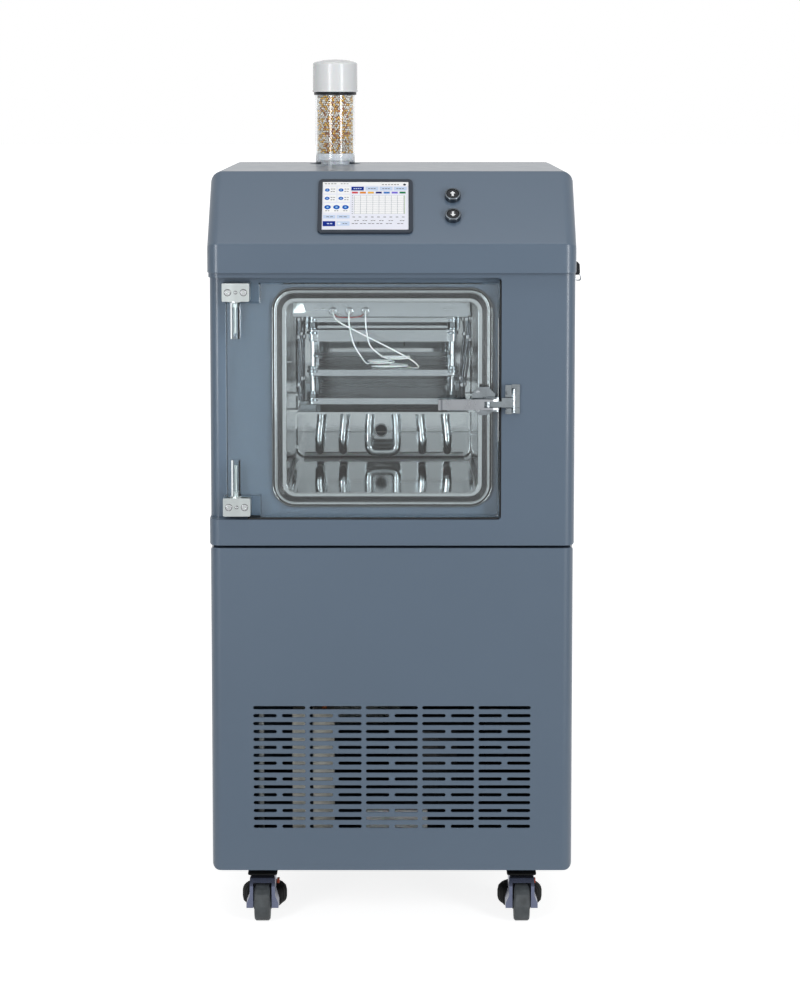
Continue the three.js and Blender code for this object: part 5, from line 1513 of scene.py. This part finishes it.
def machine_bay():
    for node, material, bevel in (
        ("compressor", BLACK_ENAMEL, 1.0), ("heat_exchanger", TAN_ENAMEL, 1.0), ("radiator", ALUMINIUM, 0.5),
        ("fan_rotor", BLACK_PLASTIC, 0.5), ("refrigerant_pipes", COPPER, 0), ("vacuum_port", STAINLESS, 0.4),
    ):
        keep(node, material, bevel)
    cup = [(-44, 105), (-37, 105), (-37, 146), (53, 146), (53, 105), (60, 105), (60, 178), (-44, 178)]
    dress(prism("drain_cup", cup, "Y", CUP_DEPTH), WHITE_PLASTIC, bevel=1.5)
    duct = prism("cable_duct", rounded(about(DUCT_X, 5.5), DUCT_DEPTH, 3), "Z", DUCT_Z)
    dress(duct, ALUMINIUM, bevel=0.6)


machine_bay()

# --- castors

CORNERS = ("front_left", "front_right", "rear_left", "rear_right")
KNURLS = 28
KNURL_DEPTH = 0.016
CASTOR_COVER_Z = (79.2, 82.4)
LOCK_TAB_Z = (49, 57)


def leveller(name, centre, z):
    """A ribbed thumbwheel and its pad, turned on one stem."""
    stem = 6
    profile = [
        (0, 6), (27, 6), (29, 7.5), (29, 11.5), (33.4, 11.8), (36.4, 15), (37.4, 20.5), (37.4, 31),
        (36.2, 37), (32, 41.5), (24, 43.4), (stem, 43.6), (stem, z[1]), (0, z[1]),
    ]
    wheel = lathe(name, profile, (*centre, 0), steps=4 * KNURLS)
    for vertex in wheel.data.vertices:
        off = Vector((vertex.co.x, vertex.co.y)) - Vector(centre) * MM
        if off.length > 31 * MM:
            off *= 1 + KNURL_DEPTH * math.cos(KNURLS * math.atan2(off.y, off.x))
            vertex.co.x, vertex.co.y = Vector(centre) * MM + off
    return wheel


def castors():
    for corner in CORNERS:
        keep(f"castor_fork_{corner}", ZINC, 0.8)
        keep(f"castor_wheel_{corner}", NYLON, 1.0)
        node = f"castor_leveller_{corner}"
        x, y, _ = centre_of(node)
        dress(leveller(f"thumbwheel_{corner}", (x, y), extent(node)[2]), RUBBER, stands_for=node, angle=60)
        ahead = math.copysign(1, y)
        cover = rounded(about(x, 24.6), sorted((y + ahead * 80, y + ahead * 3)), 6)
        dress(prism(f"castor_cover_{corner}", cover, "Z", CASTOR_COVER_Z), RUBBER, bevel=0.8)
        tab = block(f"lock_tab_{corner}", about(x + 24, 2.2), about(y + ahead * 19, 4.5), LOCK_TAB_Z)
        dress(tab, RED_PLASTIC, bevel=0.6)


castors()

# --- floor and lights


FLOOR_REACH = 60000
LAMP_AIM = (0, -0.3, 1.0)
# Each lamp's place, the point that it faces, its width and height in metres, and its watts.
LAMPS = {
    "left_strip": ((-1.75, -3.1, 1.35), LAMP_AIM, (0.8, 1.8), 38),
    "right_strip": ((2.1, -2.8, 1.35), LAMP_AIM, (0.8, 1.8), 44),
    "top_light": ((0, -1.2, 3.6), (0, 0, 0.8), (2.5, 1.5), 17),
}


def shiny_ray(n, path):
    return n.calculate("MAXIMUM", path["Is Glossy Ray"], path["Is Transmission Ray"])


def floor():
    """A floor that the camera sees white, and that mirrors and clear parts see in bands."""
    reach = FLOOR_REACH
    ground = block("floor", (-reach, reach), (-reach, reach), (-20, 0))
    n = Finish("floor_white")
    n.feed(n.shader, Base_Color=(0.5, 0.5, 0.5, 1), Roughness=0.9, Specular_IOR_Level=0.1)
    path = n.add("ShaderNodeLightPath").outputs
    depth = n.depth()
    close = n.spread(depth, 0.28, 1.0, (-1.0, -0.3))
    far = n.spread(depth, 0.66, 0.28, (-6.0, -2.5))
    mirrored = n.calculate("MULTIPLY", shiny_ray(n, path), n.calculate("MAXIMUM", close, far))
    distance = n.add("ShaderNodeVectorMath", operation="LENGTH")
    n.link(n.place, distance.inputs[0])
    near = n.spread(distance.outputs["Value"], 0.84, 1.0, (0.5, 2.0))
    glow = n.calculate("MULTIPLY", n.calculate("MAXIMUM", path["Is Camera Ray"], mirrored), near)
    n.feed(n.shader, Emission_Color=(1, 1, 1, 1), Emission_Strength=glow)
    ground.data.materials.append(n.material)


def surroundings():
    """A world that the camera sees white, with less light on the object and a graded reflection."""
    world = bpy.data.worlds.new("studio")
    bpy.context.scene.world = world
    world.use_nodes = True
    n = Nodes(world.node_tree, "Generated")
    path = n.add("ShaderNodeLightPath").outputs
    behind = n.spread(n.depth(), 0.6, 0.92, (-0.9, 0.4))
    reflected = n.feed(n.add("ShaderNodeMix"), Factor=shiny_ray(n, path), A=0.3, B=behind)
    seen = n.add("ShaderNodeMix")
    n.feed(seen, Factor=path["Is Camera Ray"], A=reflected.outputs["Result"], B=1.0)
    n.feed(n.tree.nodes["Background"], Color=(1, 1, 1, 1), Strength=seen.outputs["Result"])


def lamps():
    for name, (place, aim, size, watts) in LAMPS.items():
        data = bpy.data.lights.new(name, "AREA")
        data.shape = "RECTANGLE"
        data.size, data.size_y = size
        data.energy = watts
        lamp = placed(name, data)
        lamp.location = place
        lamp.rotation_euler = (Vector(aim) - Vector(place)).to_track_quat("-Z", "Y").to_euler()


floor()
surroundings()
lamps()
bpy.context.scene.view_settings.view_transform = "Standard"
